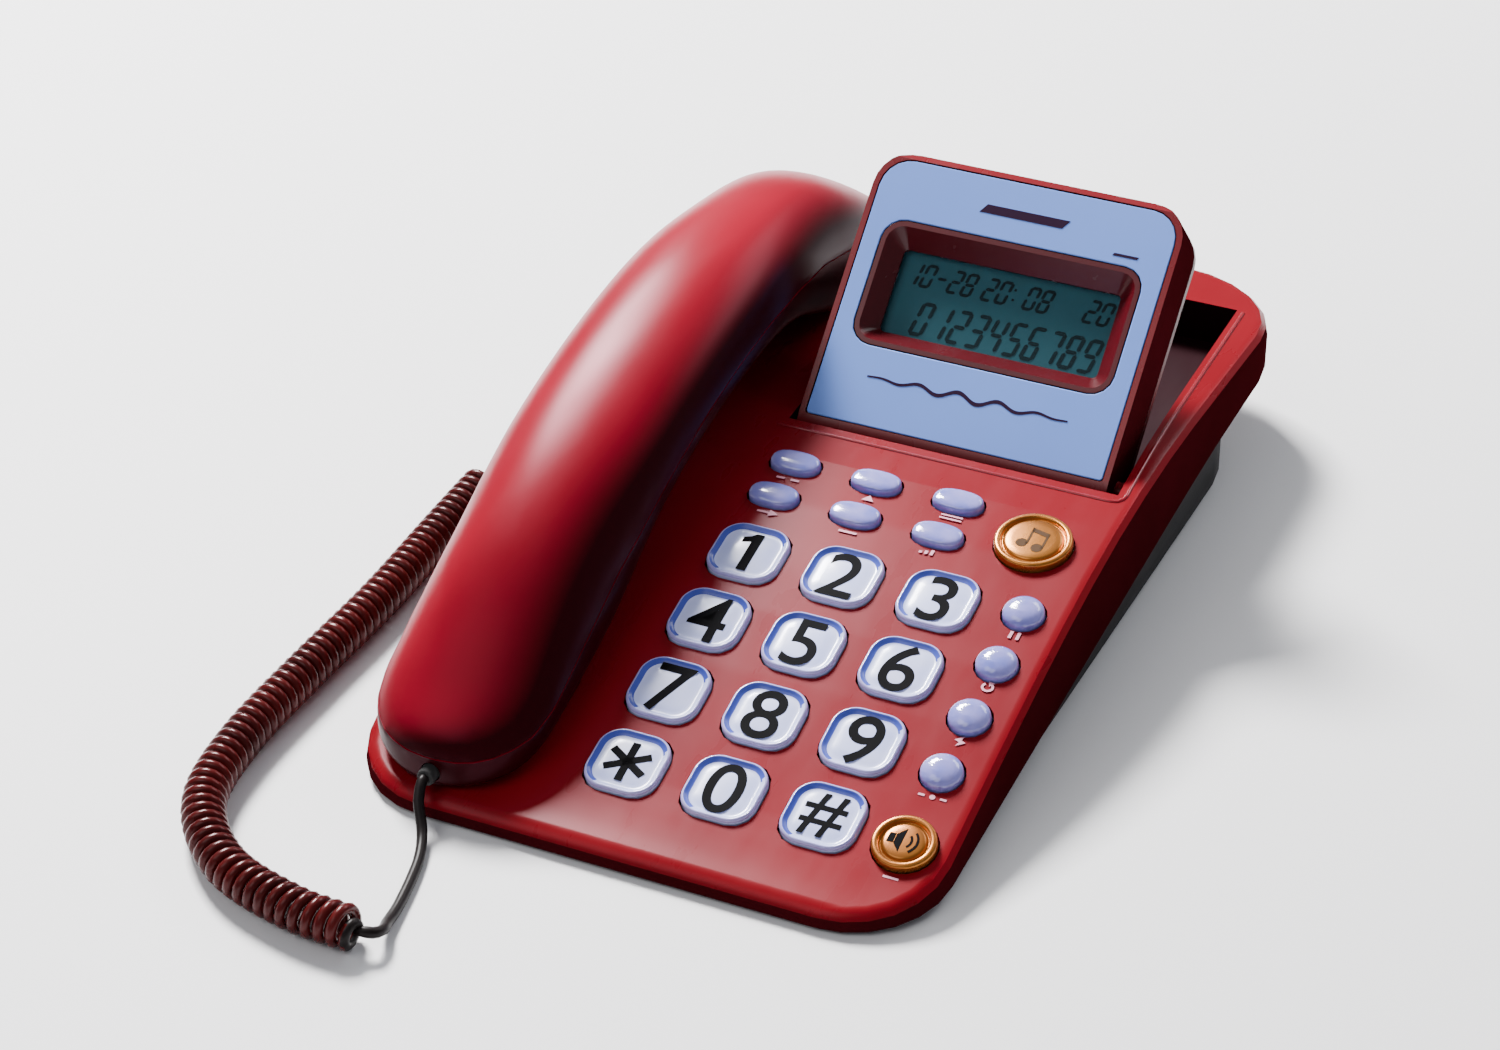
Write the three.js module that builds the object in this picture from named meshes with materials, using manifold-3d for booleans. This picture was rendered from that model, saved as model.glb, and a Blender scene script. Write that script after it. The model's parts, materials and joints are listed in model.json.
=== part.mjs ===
// Corded desk telephone with a tilting caller display, a handset on the left and a coiled cord.
// Millimetres. X points right, Y to the rear, Z up. The telephone stands on Z = 0.

import * as THREE from 'three';
import { mergeVertices } from 'three/addons/utils/BufferGeometryUtils.js';
import Module from 'manifold-3d';

const wasm = await Module();
wasm.setup();

// base housing
const halfWidth = 63;
const halfDepth = 114.1;
const frontCorner = 20;
const rearCorner = 28;
const wall = 2.2;
const edgeRound = 3;
const footHeight = 0.8;
const floorBottom = 0.9;
const floorTop = 2.2;
const trayInset = 2.5;
const trayRear = 90;
const trayWall = 1.8;
const topLine = [
  [-114.1, 4.4], [-106, 5.9], [-89, 10.4], [-72, 15.4], [-54.6, 20.3], [-37, 24.7], [-19.5, 28.3],
  [-1.6, 30.9], [16.4, 32.2], [34.4, 32.4], [52.3, 31.5], [70, 30.5], [89.7, 29.3], [114.1, 27.7],
];
const splitLine = [[-114.1, 0.9], [-90, 3.2], [-20, 10.2], [50, 16.6], [80, 17.5], [114.1, 17.5]];

// buttons
const keyStep = 21.2;
const keyColumnX = 14;
const keyRowY = [-35.5, -54.6, -73.5, -92.3];
const keyWidth = 15.8;
const keyLength = 15.4;
const keyCorner = 4.6;
const keyNames = ['1', '2', '3', '4', '5', '6', '7', '8', '9', 'star', '0', 'hash'];
const ovalStep = 18.6;
const ovalCenterX = 9.3;
const ovalRowY = [-7.2, -18.2];
const ovalWidth = 11.4;
const ovalLength = 6.8;
const ovalNames = ['set', 'up', 'redial_list', 'out', 'delete', 'volume'];
const domeX = 53;
const domeY = [-33.4, -47.6, -61.7, -75.7];
const domeWidth = 9;
const domeNames = ['pause', 'redial', 'flash', 'callback'];
const handsfreeSpot = { x: 52.8, y: -93.6, width: 13 };
const musicSpot = { x: 47.4, y: -14, width: 16.4 };
const buttonGap = 0.35;
const flangeSpread = 0.9;
const flangeTop = -2.35;
const buttonFoot = -2.7;

// display
const hingeX = 19.1;
const hingeY = 15.45;
const hingeZ = 27;
const displayTilt = THREE.MathUtils.degToRad(43);
const displayWidth = 71;
const displayLength = 62;
const displayDepth = 15;
const displayCorner = 8.5;
const plateWidth = 67.9;
const plateLength = 60.2;
const windowWidth = 60;
const windowLength = 29.2;
const windowY = 32;
const glassWidth = 50.2;
const glassLength = 19.2;

// well the display folds into
const wellLeft = -17.5;
const wellRightFront = 57.8;
const wellRightRear = 53.8;
const wellFront = 7.4;
const wellRear = 96;
const wellFloor = 19;

// handset
const handsetX = -42;
const handsetHalf = 19.2;
const handsetWall = 2;
const handsetFront = -110;
const handsetRear = 96.8;
const endCorner = 16.5;
const crestLine = [
  [-110, 12.6], [-109, 15.6], [-106, 18.6], [-100, 22.8], [-93.4, 28], [-86.6, 33.4], [-78, 39.4],
  [-68, 44.6], [-52, 50.8], [-40, 54.4], [-27, 58], [-15, 60.8], [7, 64.2], [25, 65.2],
  [40, 64.5], [52, 63], [62, 60.2], [72, 55.4], [80, 49.8], [88, 43.6], [94, 37.6], [96.8, 33],
];
const underLine = [
  [-110, 6], [-105.5, 6.6], [-89, 11], [-72, 16], [-64, 18.9], [-57, 24], [-49, 29.8], [-40, 34.2],
  [-27, 38.4], [-10, 42], [8, 44.2], [22, 43.8], [32, 41], [39, 36.6], [45, 32.6], [52.3, 32.1],
  [70, 31.1], [89.7, 29.9], [96.8, 30.4],
];
const seamLine = [
  [-112, 11.5], [-95, 17.2], [-80, 24.4], [-50, 38], [-20, 47.6], [10, 52.4], [30, 52.4],
  [50, 49.2], [75, 40.6], [98, 31.4],
];
const capRadius = 13.6;
const earY = 72;
const mouthY = -84;
const pocketDepth = 2.6;

// cord
const coilWidth = 9.3;
const wireWidth = 2.4;
const exitZ = 8.8;
const grommetRadius = 1.9;
const plugY = 22;
const plugZ = 7.6;

// colours
const paints = {
  red: { color: 0xa81f2b, roughness: 0.28 },
  darkRed: { color: 0x5c1018, roughness: 0.35 },
  black: { color: 0x17120f, roughness: 0.55 },
  rubber: { color: 0x111111, roughness: 0.85 },
  key: { color: 0xb9c6f2, roughness: 0.35 },
  smallKey: { color: 0xd3d2f2, roughness: 0.3 },
  gold: { color: 0xb07a2c, roughness: 0.3, metalness: 0.7 },
  plate: { color: 0x7ba6e0, roughness: 0.4 },
  glass: { color: 0x3c6d7c, roughness: 0.1 },
  panel: { color: 0x2f5560, roughness: 0.4 },
  board: { color: 0x1f5b34, roughness: 0.6 },
  mat: { color: 0xcfcfd2, roughness: 0.8 },
  metal: { color: 0x8f9297, roughness: 0.4, metalness: 0.9 },
  cord: { color: 0x5a1318, roughness: 0.45 },
};

function smoothCurve(points) {
  const slopes = points.map((p, i) => {
    const before = points[Math.max(i - 1, 0)];
    const after = points[Math.min(i + 1, points.length - 1)];
    return (after[1] - before[1]) / (after[0] - before[0]);
  });
  return (value) => {
    const u = Math.min(Math.max(value, points[0][0]), points[points.length - 1][0]);
    let i = 0;
    while (i < points.length - 2 && u > points[i + 1][0]) {
      i += 1;
    }
    const span = points[i + 1][0] - points[i][0];
    const t = (u - points[i][0]) / span;
    const s = t * t * (3 - 2 * t);
    const rise = t * (1 - t) * (1 - t) * span * slopes[i];
    const fall = t * t * (t - 1) * span * slopes[i + 1];
    return points[i][1] * (1 - s) + points[i + 1][1] * s + rise + fall;
  };
}

const topAt = smoothCurve(topLine);
const splitAt = smoothCurve(splitLine);
const crestAt = smoothCurve(crestLine);
const underAt = smoothCurve(underLine);
const seamAt = smoothCurve(seamLine);
const slopeAt = (y) => Math.atan2(topAt(y + 1) - topAt(y - 1), 2);

// Closes a stack of equal rings. Point i of a ring faces point n - 1 - i across the middle.
function skin(rings) {
  const count = rings[0].length;
  const positions = rings.flat(2);
  const index = [];
  for (let k = 0; k < rings.length - 1; k += 1) {
    for (let i = 0; i < count; i += 1) {
      const a = k * count + i;
      const b = k * count + ((i + 1) % count);
      index.push(a, b, b + count, a, b + count, a + count);
    }
  }
  const last = (rings.length - 1) * count;
  for (let i = 0; i < count / 2 - 1; i += 1) {
    const j = count - 1 - i;
    index.push(last + i, last + i + 1, last + j - 1, last + i, last + j - 1, last + j);
    index.push(i, j - 1, i + 1, i, j, j - 1);
  }
  const geometry = new THREE.BufferGeometry();
  geometry.setAttribute('position', new THREE.Float32BufferAttribute(positions, 3));
  geometry.setIndex(index);
  return facingOut(geometry);
}

function facingOut(geometry) {
  const p = geometry.attributes.position;
  const index = geometry.index.array;
  const a = new THREE.Vector3();
  const b = new THREE.Vector3();
  const c = new THREE.Vector3();
  let volume = 0;
  for (let i = 0; i < index.length; i += 3) {
    a.fromBufferAttribute(p, index[i]);
    b.fromBufferAttribute(p, index[i + 1]);
    c.fromBufferAttribute(p, index[i + 2]);
    volume += a.dot(b.cross(c));
  }
  if (volume < 0) {
    for (let i = 0; i < index.length; i += 3) {
      const swap = index[i + 1];
      index[i + 1] = index[i + 2];
      index[i + 2] = swap;
    }
  }
  return geometry;
}

function solid(geometry) {
  const bare = geometry.clone();
  bare.deleteAttribute('normal');
  bare.deleteAttribute('uv');
  const merged = mergeVertices(bare, 1e-4);
  return new wasm.Manifold(new wasm.Mesh({
    numProp: 3,
    vertProperties: new Float32Array(merged.attributes.position.array),
    triVerts: new Uint32Array(merged.index.array),
  }));
}

function surface(body) {
  const mesh = body.getMesh();
  const geometry = new THREE.BufferGeometry();
  geometry.setAttribute('position', new THREE.BufferAttribute(mesh.vertProperties, 3));
  geometry.setIndex(new THREE.BufferAttribute(mesh.triVerts, 1));
  return geometry;
}

function moved(geometry, x, y, z, tilt = 0) {
  return geometry.clone().rotateX(tilt).translate(x, y, z);
}

// Right half of a rounded rectangle, walked from the front to the rear.
function roundedHalf(width, length, cornerFront, cornerRear, steps, sideSteps = 1) {
  const half = [];
  for (let i = 0; i <= steps; i += 1) {
    const turn = (Math.PI / 2) * (i / steps - 1);
    half.push([
      width / 2 - cornerFront + cornerFront * Math.cos(turn),
      -length / 2 + cornerFront + cornerFront * Math.sin(turn),
    ]);
  }
  const from = -length / 2 + cornerFront;
  const to = length / 2 - cornerRear;
  for (let i = 1; i < sideSteps; i += 1) {
    half.push([width / 2, from + ((to - from) * i) / sideSteps]);
  }
  for (let i = 0; i <= steps; i += 1) {
    const turn = (Math.PI / 2) * (i / steps);
    half.push([
      width / 2 - cornerRear + cornerRear * Math.cos(turn),
      length / 2 - cornerRear + cornerRear * Math.sin(turn),
    ]);
  }
  return half;
}

function roundHalf(width, length, steps, power = 2) {
  const half = [];
  for (let i = 0; i < steps; i += 1) {
    const turn = Math.PI * ((i + 0.5) / steps - 0.5);
    const side = Math.abs(Math.cos(turn)) ** (2 / power);
    const along = Math.sign(Math.sin(turn)) * Math.abs(Math.sin(turn)) ** (2 / power);
    half.push([(width / 2) * side, (length / 2) * along]);
  }
  return half;
}

function ring(half, heightOf, x = 0, y = 0) {
  const right = half.map((p) => [x + p[0], y + p[1], heightOf(y + p[1])]);
  const left = half.map((p) => [x - p[0], y + p[1], heightOf(y + p[1])]).reverse();
  return right.concat(left);
}

function level(height) {
  return () => height;
}

function block(x0, x1, y0, y1, z0, z1) {
  return new THREE.BoxGeometry(x1 - x0, y1 - y0, z1 - z0)
    .translate((x0 + x1) / 2, (y0 + y1) / 2, (z0 + z1) / 2);
}

// Prism along X from a closed outline in the YZ plane.
function prismX(points, x0, x1) {
  const shape = new THREE.Shape(points.map((p) => new THREE.Vector2(p[0], p[1])));
  const geometry = new THREE.ExtrudeGeometry(shape, { depth: x1 - x0, bevelEnabled: false });
  const turn = new THREE.Matrix4().makeBasis(
    new THREE.Vector3(0, 1, 0),
    new THREE.Vector3(0, 0, 1),
    new THREE.Vector3(1, 0, 0),
  );
  return geometry.applyMatrix4(turn).translate(x0, 0, 0);
}

function disc(radius, z0, z1, x = 0, y = 0, segments = 24) {
  const half = roundHalf(radius * 2, radius * 2, segments / 2);
  return skin([ring(half, level(z0), x, y), ring(half, level(z1), x, y)]);
}

// One level of the base outline, pulled inward by inset.
function baseRing(inset, heightOf) {
  const half = roundedHalf(
    2 * (halfWidth - inset),
    2 * (halfDepth - inset),
    frontCorner - inset,
    rearCorner - inset,
    6,
    12,
  );
  return ring(half, heightOf);
}

// One level of the bottom tray, which stops short of the rear so that the top shell overhangs it.
function trayRing(inset, heightOf) {
  const length = halfDepth - trayInset + trayRear - 2 * inset;
  const half = roundedHalf(
    2 * (halfWidth - trayInset - inset),
    length,
    frontCorner - trayInset - inset,
    rearCorner - trayInset - inset,
    6,
    11,
  );
  return ring(half, heightOf, 0, (trayRear - halfDepth + trayInset) / 2);
}

const parts = [];

function add(name, geometry, paint, parent = null) {
  const { color, roughness, metalness = 0 } = paints[paint];
  const material = new THREE.MeshStandardMaterial({ color, roughness, metalness });
  geometry.computeVertexNormals();
  const mesh = new THREE.Mesh(geometry, material);
  mesh.name = name;
  if (parent) {
    parent.add(mesh);
  } else {
    parts.push(mesh);
  }
  return mesh;
}

// Buttons stand square to the sloping top. Levels are [width, length, corner, height] from below.
function squareButton(levels, steps = 3) {
  return skin(levels.map(([w, l, c, z]) => ring(roundedHalf(w, l, c, c, steps), level(z))));
}

function roundButton(levels, steps, power = 2) {
  return skin(levels.map(([w, l, z]) => ring(roundHalf(w, l, steps, power), level(z))));
}

function digitKey() {
  const w = keyWidth;
  const l = keyLength;
  const c = keyCorner;
  const f = flangeSpread * 2;
  return squareButton([
    [w + f, l + f, c + flangeSpread, buttonFoot],
    [w + f, l + f, c + flangeSpread, flangeTop],
    [w, l, c, flangeTop],
    [w, l, c, 1.1],
    [w - 1, l - 1, c - 0.5, 1.85],
    [w - 2.8, l - 2.8, c - 1.4, 1.85],
    [w - 8, l - 8, 1.4, 1.3],
  ]);
}

function ovalKey() {
  const w = ovalWidth;
  const l = ovalLength;
  const f = flangeSpread * 2;
  return roundButton([
    [w + f, l + f, buttonFoot],
    [w + f, l + f, flangeTop],
    [w, l, flangeTop],
    [w, l, 0.7],
    [w - 0.8, l - 0.8, 1.4],
    [w - 3, l - 2.8, 1.75],
    [w - 8, l - 5.4, 1.85],
  ], 8, 2.5);
}

function domeKey() {
  const w = domeWidth;
  const f = flangeSpread * 2;
  return roundButton([
    [w + f, w + f, buttonFoot],
    [w + f, w + f, flangeTop],
    [w, w, flangeTop],
    [w, w, 0.6],
    [w - 0.7, w - 0.7, 1.4],
    [w - 2.6, w - 2.6, 2.2],
    [w - 6, w - 6, 2.7],
  ], 8);
}

// Wide round button with a raised rim, a groove and a slightly domed middle.
function rimmedButton(width) {
  const f = flangeSpread * 2;
  return roundButton([
    [width + f, width + f, buttonFoot],
    [width + f, width + f, flangeTop],
    [width, width, flangeTop],
    [width, width, 1.2],
    [width - 0.8, width - 0.8, 1.8],
    [width - 2.6, width - 2.6, 1.8],
    [width - 3.6, width - 3.6, 0.9],
    [width - 4.4, width - 4.4, 0.9],
    [width - 5.4, width - 5.4, 1.6],
    [width - 9.4, width - 9.4, 1.8],
  ], 10);
}

const buttons = [];
keyNames.forEach((name, i) => {
  const x = keyColumnX + ((i % 3) - 1) * keyStep;
  const y = keyRowY[Math.floor(i / 3)];
  const half = roundedHalf(
    keyWidth + 2 * buttonGap,
    keyLength + 2 * buttonGap,
    keyCorner + buttonGap,
    keyCorner + buttonGap,
    3,
  );
  buttons.push({ name: `key_${name}`, x, y, half, geometry: digitKey(), paint: 'key' });
});
ovalNames.forEach((name, i) => {
  const x = ovalCenterX + ((i % 3) - 1) * ovalStep;
  const y = ovalRowY[Math.floor(i / 3)];
  const half = roundHalf(ovalWidth + 2 * buttonGap, ovalLength + 2 * buttonGap, 8, 2.5);
  buttons.push({ name: `button_${name}`, x, y, half, geometry: ovalKey(), paint: 'smallKey' });
});
domeNames.forEach((name, i) => {
  const half = roundHalf(domeWidth + 2 * buttonGap, domeWidth + 2 * buttonGap, 8);
  const y = domeY[i];
  buttons.push({ name: `button_${name}`, x: domeX, y, half, geometry: domeKey(), paint: 'smallKey' });
});
[['handsfree', handsfreeSpot], ['music', musicSpot]].forEach(([name, spot]) => {
  const hole = spot.width + 2 * buttonGap;
  const half = roundHalf(hole, hole, 10);
  const geometry = rimmedButton(spot.width);
  buttons.push({ name: `button_${name}`, x: spot.x, y: spot.y, half, geometry, paint: 'gold' });
});

// top shell
const roundSteps = [0, 30, 60, 90].map((a) => THREE.MathUtils.degToRad(a));
const outer = solid(skin([
  baseRing(0, splitAt),
  ...roundSteps.map((a) => {
    const drop = edgeRound * (1 - Math.sin(a));
    return baseRing(edgeRound * (1 - Math.cos(a)), (y) => topAt(y) - drop);
  }),
]));
const ledge = (y) => Math.min(splitAt(y) + 2, topAt(y) - wall - 0.3);
const hollow = solid(skin([baseRing(wall, ledge), baseRing(wall, (y) => topAt(y) - wall)]))
  .add(solid(skin([trayRing(-0.3, level(-5)), trayRing(-0.3, (y) => ledge(y) + 0.2)])));
const wellHalf = (x0, x1, y0, y1, z0, z1, rightRear) => {
  const shape = new THREE.Shape([
    new THREE.Vector2(x0, y0), new THREE.Vector2(x1, y0),
    new THREE.Vector2(rightRear, y1), new THREE.Vector2(x0, y1),
  ]);
  return new THREE.ExtrudeGeometry(shape, { depth: z1 - z0, bevelEnabled: false })
    .translate(0, 0, z0);
};
const wellInside = solid(wellHalf(
  wellLeft, wellRightFront, wellFront, wellRear, wellFloor, 60, wellRightRear));
const wellOutside = solid(wellHalf(
  wellLeft - 1.5, wellRightFront + 1.5, wellFront - 1.5, wellRear + 1.5,
  wellFloor - 1.5, 60, wellRightRear + 1.5));

function pocket(cy, grow, lowest, top) {
  const half = roundedHalf(33 + 2 * grow, 36 + 2 * grow, 12 + grow, 12 + grow, 5, 3);
  return solid(skin([
    ring(half, (y) => topAt(y) - lowest, handsetX, cy),
    ring(half, top, handsetX, cy),
  ]));
}
const earPocketY = earY - 3;
const mouthPocketY = mouthY + 0.6;
const under = (y) => topAt(y) - 1;
// posts that take the four housing screws
const screwSpots = [[-53, -50], [54.4, 0.4], [-46, 68], [46, 74]];
const postFoot = 6.5;
const underTop = solid(skin([baseRing(1.2, level(0)), baseRing(1.2, (y) => topAt(y) - 1.2)]));
let topShell = outer.subtract(hollow)
  .add(wellOutside.intersect(outer))
  .add(pocket(earPocketY, 1.2, pocketDepth + 1.5, under))
  .add(pocket(mouthPocketY, 1.2, pocketDepth + 1.5, under));
for (const [x, y] of screwSpots) {
  topShell = topShell.add(solid(disc(3.2, postFoot, 60, x, y, 16)).intersect(underTop));
}
topShell = topShell.subtract(wellInside)
  .subtract(pocket(earPocketY, 0, pocketDepth, level(60)))
  .subtract(pocket(mouthPocketY, 0, pocketDepth, level(60)));
for (const { x, y, half } of buttons) {
  const hole = skin([ring(half, level(-6)), ring(half, level(8))]);
  topShell = topShell.subtract(solid(moved(hole, x, y, topAt(y), slopeAt(y))));
}
// hinge bosses of the display turn in these two holes
const pinRadius = 2.2;
const pinReach = 1.3;
const pinHole = new THREE.CylinderGeometry(pinRadius + 0.3, pinRadius + 0.3, 90, 20)
  .rotateZ(Math.PI / 2);
topShell = topShell.subtract(
  solid(moved(pinHole, hingeX, hingeY, hingeZ)).intersect(solid(
    block(wellLeft - pinReach - 0.2, wellRightFront + pinReach + 0.2, 5, 25, 20, 40))));
for (const [x, y] of screwSpots) {
  topShell = topShell.subtract(solid(disc(1.4, 0, 13, x, y, 12)));
}
// slot of the hook plunger
const hookY = 52.6;
const hookWidth = 9;
const hookLength = 5;
const hookHalf = roundedHalf(hookWidth + 0.8, hookLength + 0.8, 1.4, 1.4, 3);
topShell = topShell.subtract(solid(skin([
  ring(hookHalf, level(20), handsetX, hookY), ring(hookHalf, level(60), handsetX, hookY)])));
add('base_top_shell', surface(topShell), 'red');

// bottom shell: a tray that stands inside the skirt of the top shell
const trayTop = (y) => Math.min(splitAt(y) + 1.5, topAt(y) - wall - 0.6);
let tray = solid(skin([
  trayRing(1.2, level(floorBottom)),
  trayRing(0, (y) => Math.min(floorBottom + 1.2, trayTop(y) - 0.2)),
  trayRing(0, trayTop),
])).subtract(solid(skin([trayRing(trayWall, level(floorTop)), trayRing(trayWall, level(60))])));
const jackWidth = 12;
const lineJackX = -8;
const lineJackZ = 9.5;
const jackFace = trayRear - 0.3;
tray = tray.subtract(solid(block(
  lineJackX - jackWidth / 2 - 0.3, lineJackX + jackWidth / 2 + 0.3, 80, 100,
  lineJackZ - jackWidth / 2 - 0.3, lineJackZ + jackWidth / 2 + 0.3)));
const sideJackHalf = 5.2;
const sideFace = -halfWidth + trayInset + 0.3;
tray = tray.subtract(solid(block(
  -70, -50, plugY - sideJackHalf - 0.3, plugY + sideJackHalf + 0.3,
  plugZ - 4.6 - 0.3, plugZ + 4.6 + 0.3)));
for (const [x, y] of screwSpots) {
  tray = tray.add(solid(disc(4.6, floorTop - 0.4, postFoot - 0.4, x, y, 20)))
    .subtract(solid(disc(3.2, 0, 4.4, x, y, 20)))
    .subtract(solid(disc(1.7, 0, 10, x, y, 12)));
}
tray = tray.subtract(solid(block(
  wellLeft - 1.8, wellRightFront + 1.8, wellFront - 1.8, wellRear + 1.8, wellFloor - 1.8, 60)));
const speakerX = 18;
const speakerY = 48;
for (let i = -3; i <= 3; i += 1) {
  const reach = Math.sqrt(144 - (i * 3.4) ** 2);
  tray = tray.subtract(solid(block(
    speakerX - reach, speakerX + reach, speakerY + i * 3.4 - 0.8, speakerY + i * 3.4 + 0.8, 0, 4)));
}
add('base_bottom_shell', surface(tray), 'black');

// feet, screws, speaker
[['front_left', -48, -84], ['front_right', 48, -84], ['rear_left', -36, 78], ['rear_right', 28, 80]]
  .forEach(([name, x, y]) => {
    const half = roundHalf(11, 11, 12);
    const slim = roundHalf(10, 10, 12);
    add(`foot_${name}`, skin([
      ring(slim, level(0), x, y),
      ring(half, level(0.4), x, y),
      ring(half, level(footHeight), x, y),
    ]), 'rubber');
  });
screwSpots.forEach(([x, y], i) => {
  let screw = solid(disc(2.8, 2.4, 4.2, x, y, 16)).add(solid(disc(1.2, 4, 11.5, x, y, 12)));
  screw = screw.subtract(solid(block(x - 1.6, x + 1.6, y - 0.3, y + 0.3, 2, 3.2)))
    .subtract(solid(block(x - 0.3, x + 0.3, y - 1.6, y + 1.6, 2, 3.2)));
  add(`base_screw_${i + 1}`, surface(screw), 'metal');
});
add('ringer_speaker', skin([
  ring(roundHalf(30, 30, 14), level(2.5), speakerX, speakerY),
  ring(roundHalf(30, 30, 14), level(5), speakerX, speakerY),
  ring(roundHalf(22, 22, 14), level(6), speakerX, speakerY),
  ring(roundHalf(14, 14, 14), level(6), speakerX, speakerY),
  ring(roundHalf(14, 14, 14), level(10), speakerX, speakerY),
]), 'metal');

// keypad mat follows the curved top, the flat board lies below it
const matLeft = -15;
const matRight = 57.8;
const matOutline = [];
const matRows = [-98, -88, -76, -64, -52, -40, -28, -16, -3];
for (const y of matRows) {
  matOutline.push([y, topAt(y) - 3.8 / Math.cos(slopeAt(y))]);
}
for (const y of [...matRows].reverse()) {
  matOutline.push([y, topAt(y) - 4.3 / Math.cos(slopeAt(y))]);
}
add('keypad_mat', prismX(matOutline, matLeft, matRight), 'mat');
const boardFront = [-96.5, 3.7];
const boardRear = [-3, 25.6];
add('keypad_board', prismX([
  [boardFront[0], boardFront[1] - 1.3], [boardRear[0], boardRear[1] - 1.3],
  boardRear, boardFront,
], matLeft, matRight - 0.6), 'board');

// buttons
for (const { name, x, y, geometry, paint } of buttons) {
  const mesh = add(name, geometry, paint);
  mesh.position.set(x, y, topAt(y));
  mesh.rotation.x = slopeAt(y);
}

// sockets in the rear and left walls
const lineJack = solid(block(
  lineJackX - jackWidth / 2, lineJackX + jackWidth / 2, jackFace - 13, jackFace,
  lineJackZ - jackWidth / 2, lineJackZ + jackWidth / 2))
  .subtract(solid(block(
    lineJackX - 4.9, lineJackX + 4.9, jackFace - 10, 130, lineJackZ - 3.6, lineJackZ + 3.2)))
  .subtract(solid(block(
    lineJackX - 2.2, lineJackX + 2.2, jackFace - 10, 130, lineJackZ + 3, lineJackZ + 4.8)));
add('line_jack', surface(lineJack), 'black');
const handsetJack = solid(block(
  sideFace, sideFace + 13, plugY - sideJackHalf, plugY + sideJackHalf, plugZ - 4.6, plugZ + 4.6))
  .subtract(solid(block(-80, sideFace + 9, plugY - 4, plugY + 4, plugZ - 3.4, plugZ + 3.4)));
add('handset_jack', surface(handsetJack), 'black');

// display, built flat around its hinge line and then tilted up
const display = new THREE.Group();
display.position.set(hingeX, hingeY, hingeZ);
display.rotation.x = displayTilt;
const displayHalf = displayDepth / 2;
const sideProfile = (shrink) => {
  const points = [];
  const r = displayHalf - shrink;
  for (let i = 0; i <= 10; i += 1) {
    const turn = Math.PI / 2 + (Math.PI * i) / 10;
    points.push([r * Math.cos(turn), r * Math.sin(turn)]);
  }
  points.push([displayLength - shrink - 2, -r], [displayLength - shrink, -r + 2]);
  points.push([displayLength - shrink, r - 1.6], [displayLength - shrink - 1.6, r]);
  return points;
};
const frontOutline = (shrink, corner) => {
  const length = displayLength + displayHalf - 2 * shrink;
  const half = roundedHalf(displayWidth - 2 * shrink, length, 0.6, corner, 6);
  const middle = (displayLength - displayHalf) / 2;
  return solid(skin([ring(half, level(-20), 0, middle), ring(half, level(20), 0, middle)]));
};
const displaySolid = solid(prismX(sideProfile(0), -60, 60)).intersect(frontOutline(0, displayCorner));
const displayHollow = solid(prismX(sideProfile(1.8), -60, 60))
  .intersect(frontOutline(1.8, displayCorner - 1.8));
const cutZ = -5.4;
const plateHalf = (grow) => roundedHalf(plateWidth + 2 * grow, plateLength + 2 * grow, 0.8, 6.6 + grow, 5);
const plateAt = plateLength / 2 - 0.2;
const windowHalf = (grow) => roundedHalf(windowWidth + 2 * grow, windowLength + 2 * grow,
  5 + grow, 5 + grow, 4);
const prism = (half, z0, z1, y) => skin([ring(half, level(z0), 0, y), ring(half, level(z1), 0, y)]);
const housing = displaySolid.subtract(displayHollow)
  .intersect(solid(block(-60, 60, -20, 90, cutZ, 20)))
  .subtract(solid(prism(plateHalf(0.25), displayHalf - 0.9, 20, plateAt)))
  .subtract(solid(prism(windowHalf(0.3), 0, 20, windowY)))
  .add(solid(moved(new THREE.CylinderGeometry(pinRadius, pinRadius, 3, 20).rotateZ(Math.PI / 2),
    -displayWidth / 2 - 0.2, 0, 0)))
  .add(solid(moved(new THREE.CylinderGeometry(pinRadius, pinRadius, 4.2, 20).rotateZ(Math.PI / 2),
    displayWidth / 2 + 1.4, 0, 0)));
add('display_housing', surface(housing), 'red', display);
const backCover = displaySolid.intersect(solid(block(-60, 60, -20, 90, -20, cutZ - 0.3)));
add('display_back_cover', surface(backCover), 'darkRed', display);
const faceplate = solid(prism(plateHalf(0), displayHalf - 0.8, displayHalf - 0.05, plateAt))
  .subtract(solid(prism(windowHalf(0), 0, 20, windowY)));
add('display_faceplate', surface(faceplate), 'plate', display);
const bezelOuter = roundedHalf(windowWidth - 0.6, windowLength - 0.6, 4.7, 4.7, 4);
const bezelInner = roundedHalf(glassWidth, glassLength, 1.2, 1.2, 4);
const bezelCut = skin([
  ring(bezelInner, level(-5), 0, windowY - 0.4),
  ring(bezelInner, level(3.7), 0, windowY - 0.4),
  ring(roundedHalf(windowWidth - 2.2, windowLength - 2.2, 4, 4, 4), level(displayHalf + 0.2), 0, windowY),
]);
const bezel = solid(prism(bezelOuter, 3, displayHalf - 0.1, windowY)).subtract(solid(bezelCut));
add('lcd_bezel', surface(bezel), 'red', display);
add('lcd_glass', prism(roundedHalf(glassWidth + 3, glassLength + 3, 1, 1, 2), 1.9, 2.7, windowY - 0.4),
  'glass', display);
add('lcd_panel', prism(roundedHalf(glassWidth + 6, glassLength + 6, 1, 1, 2), -0.2, 1.6, windowY - 0.4),
  'panel', display);

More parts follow.
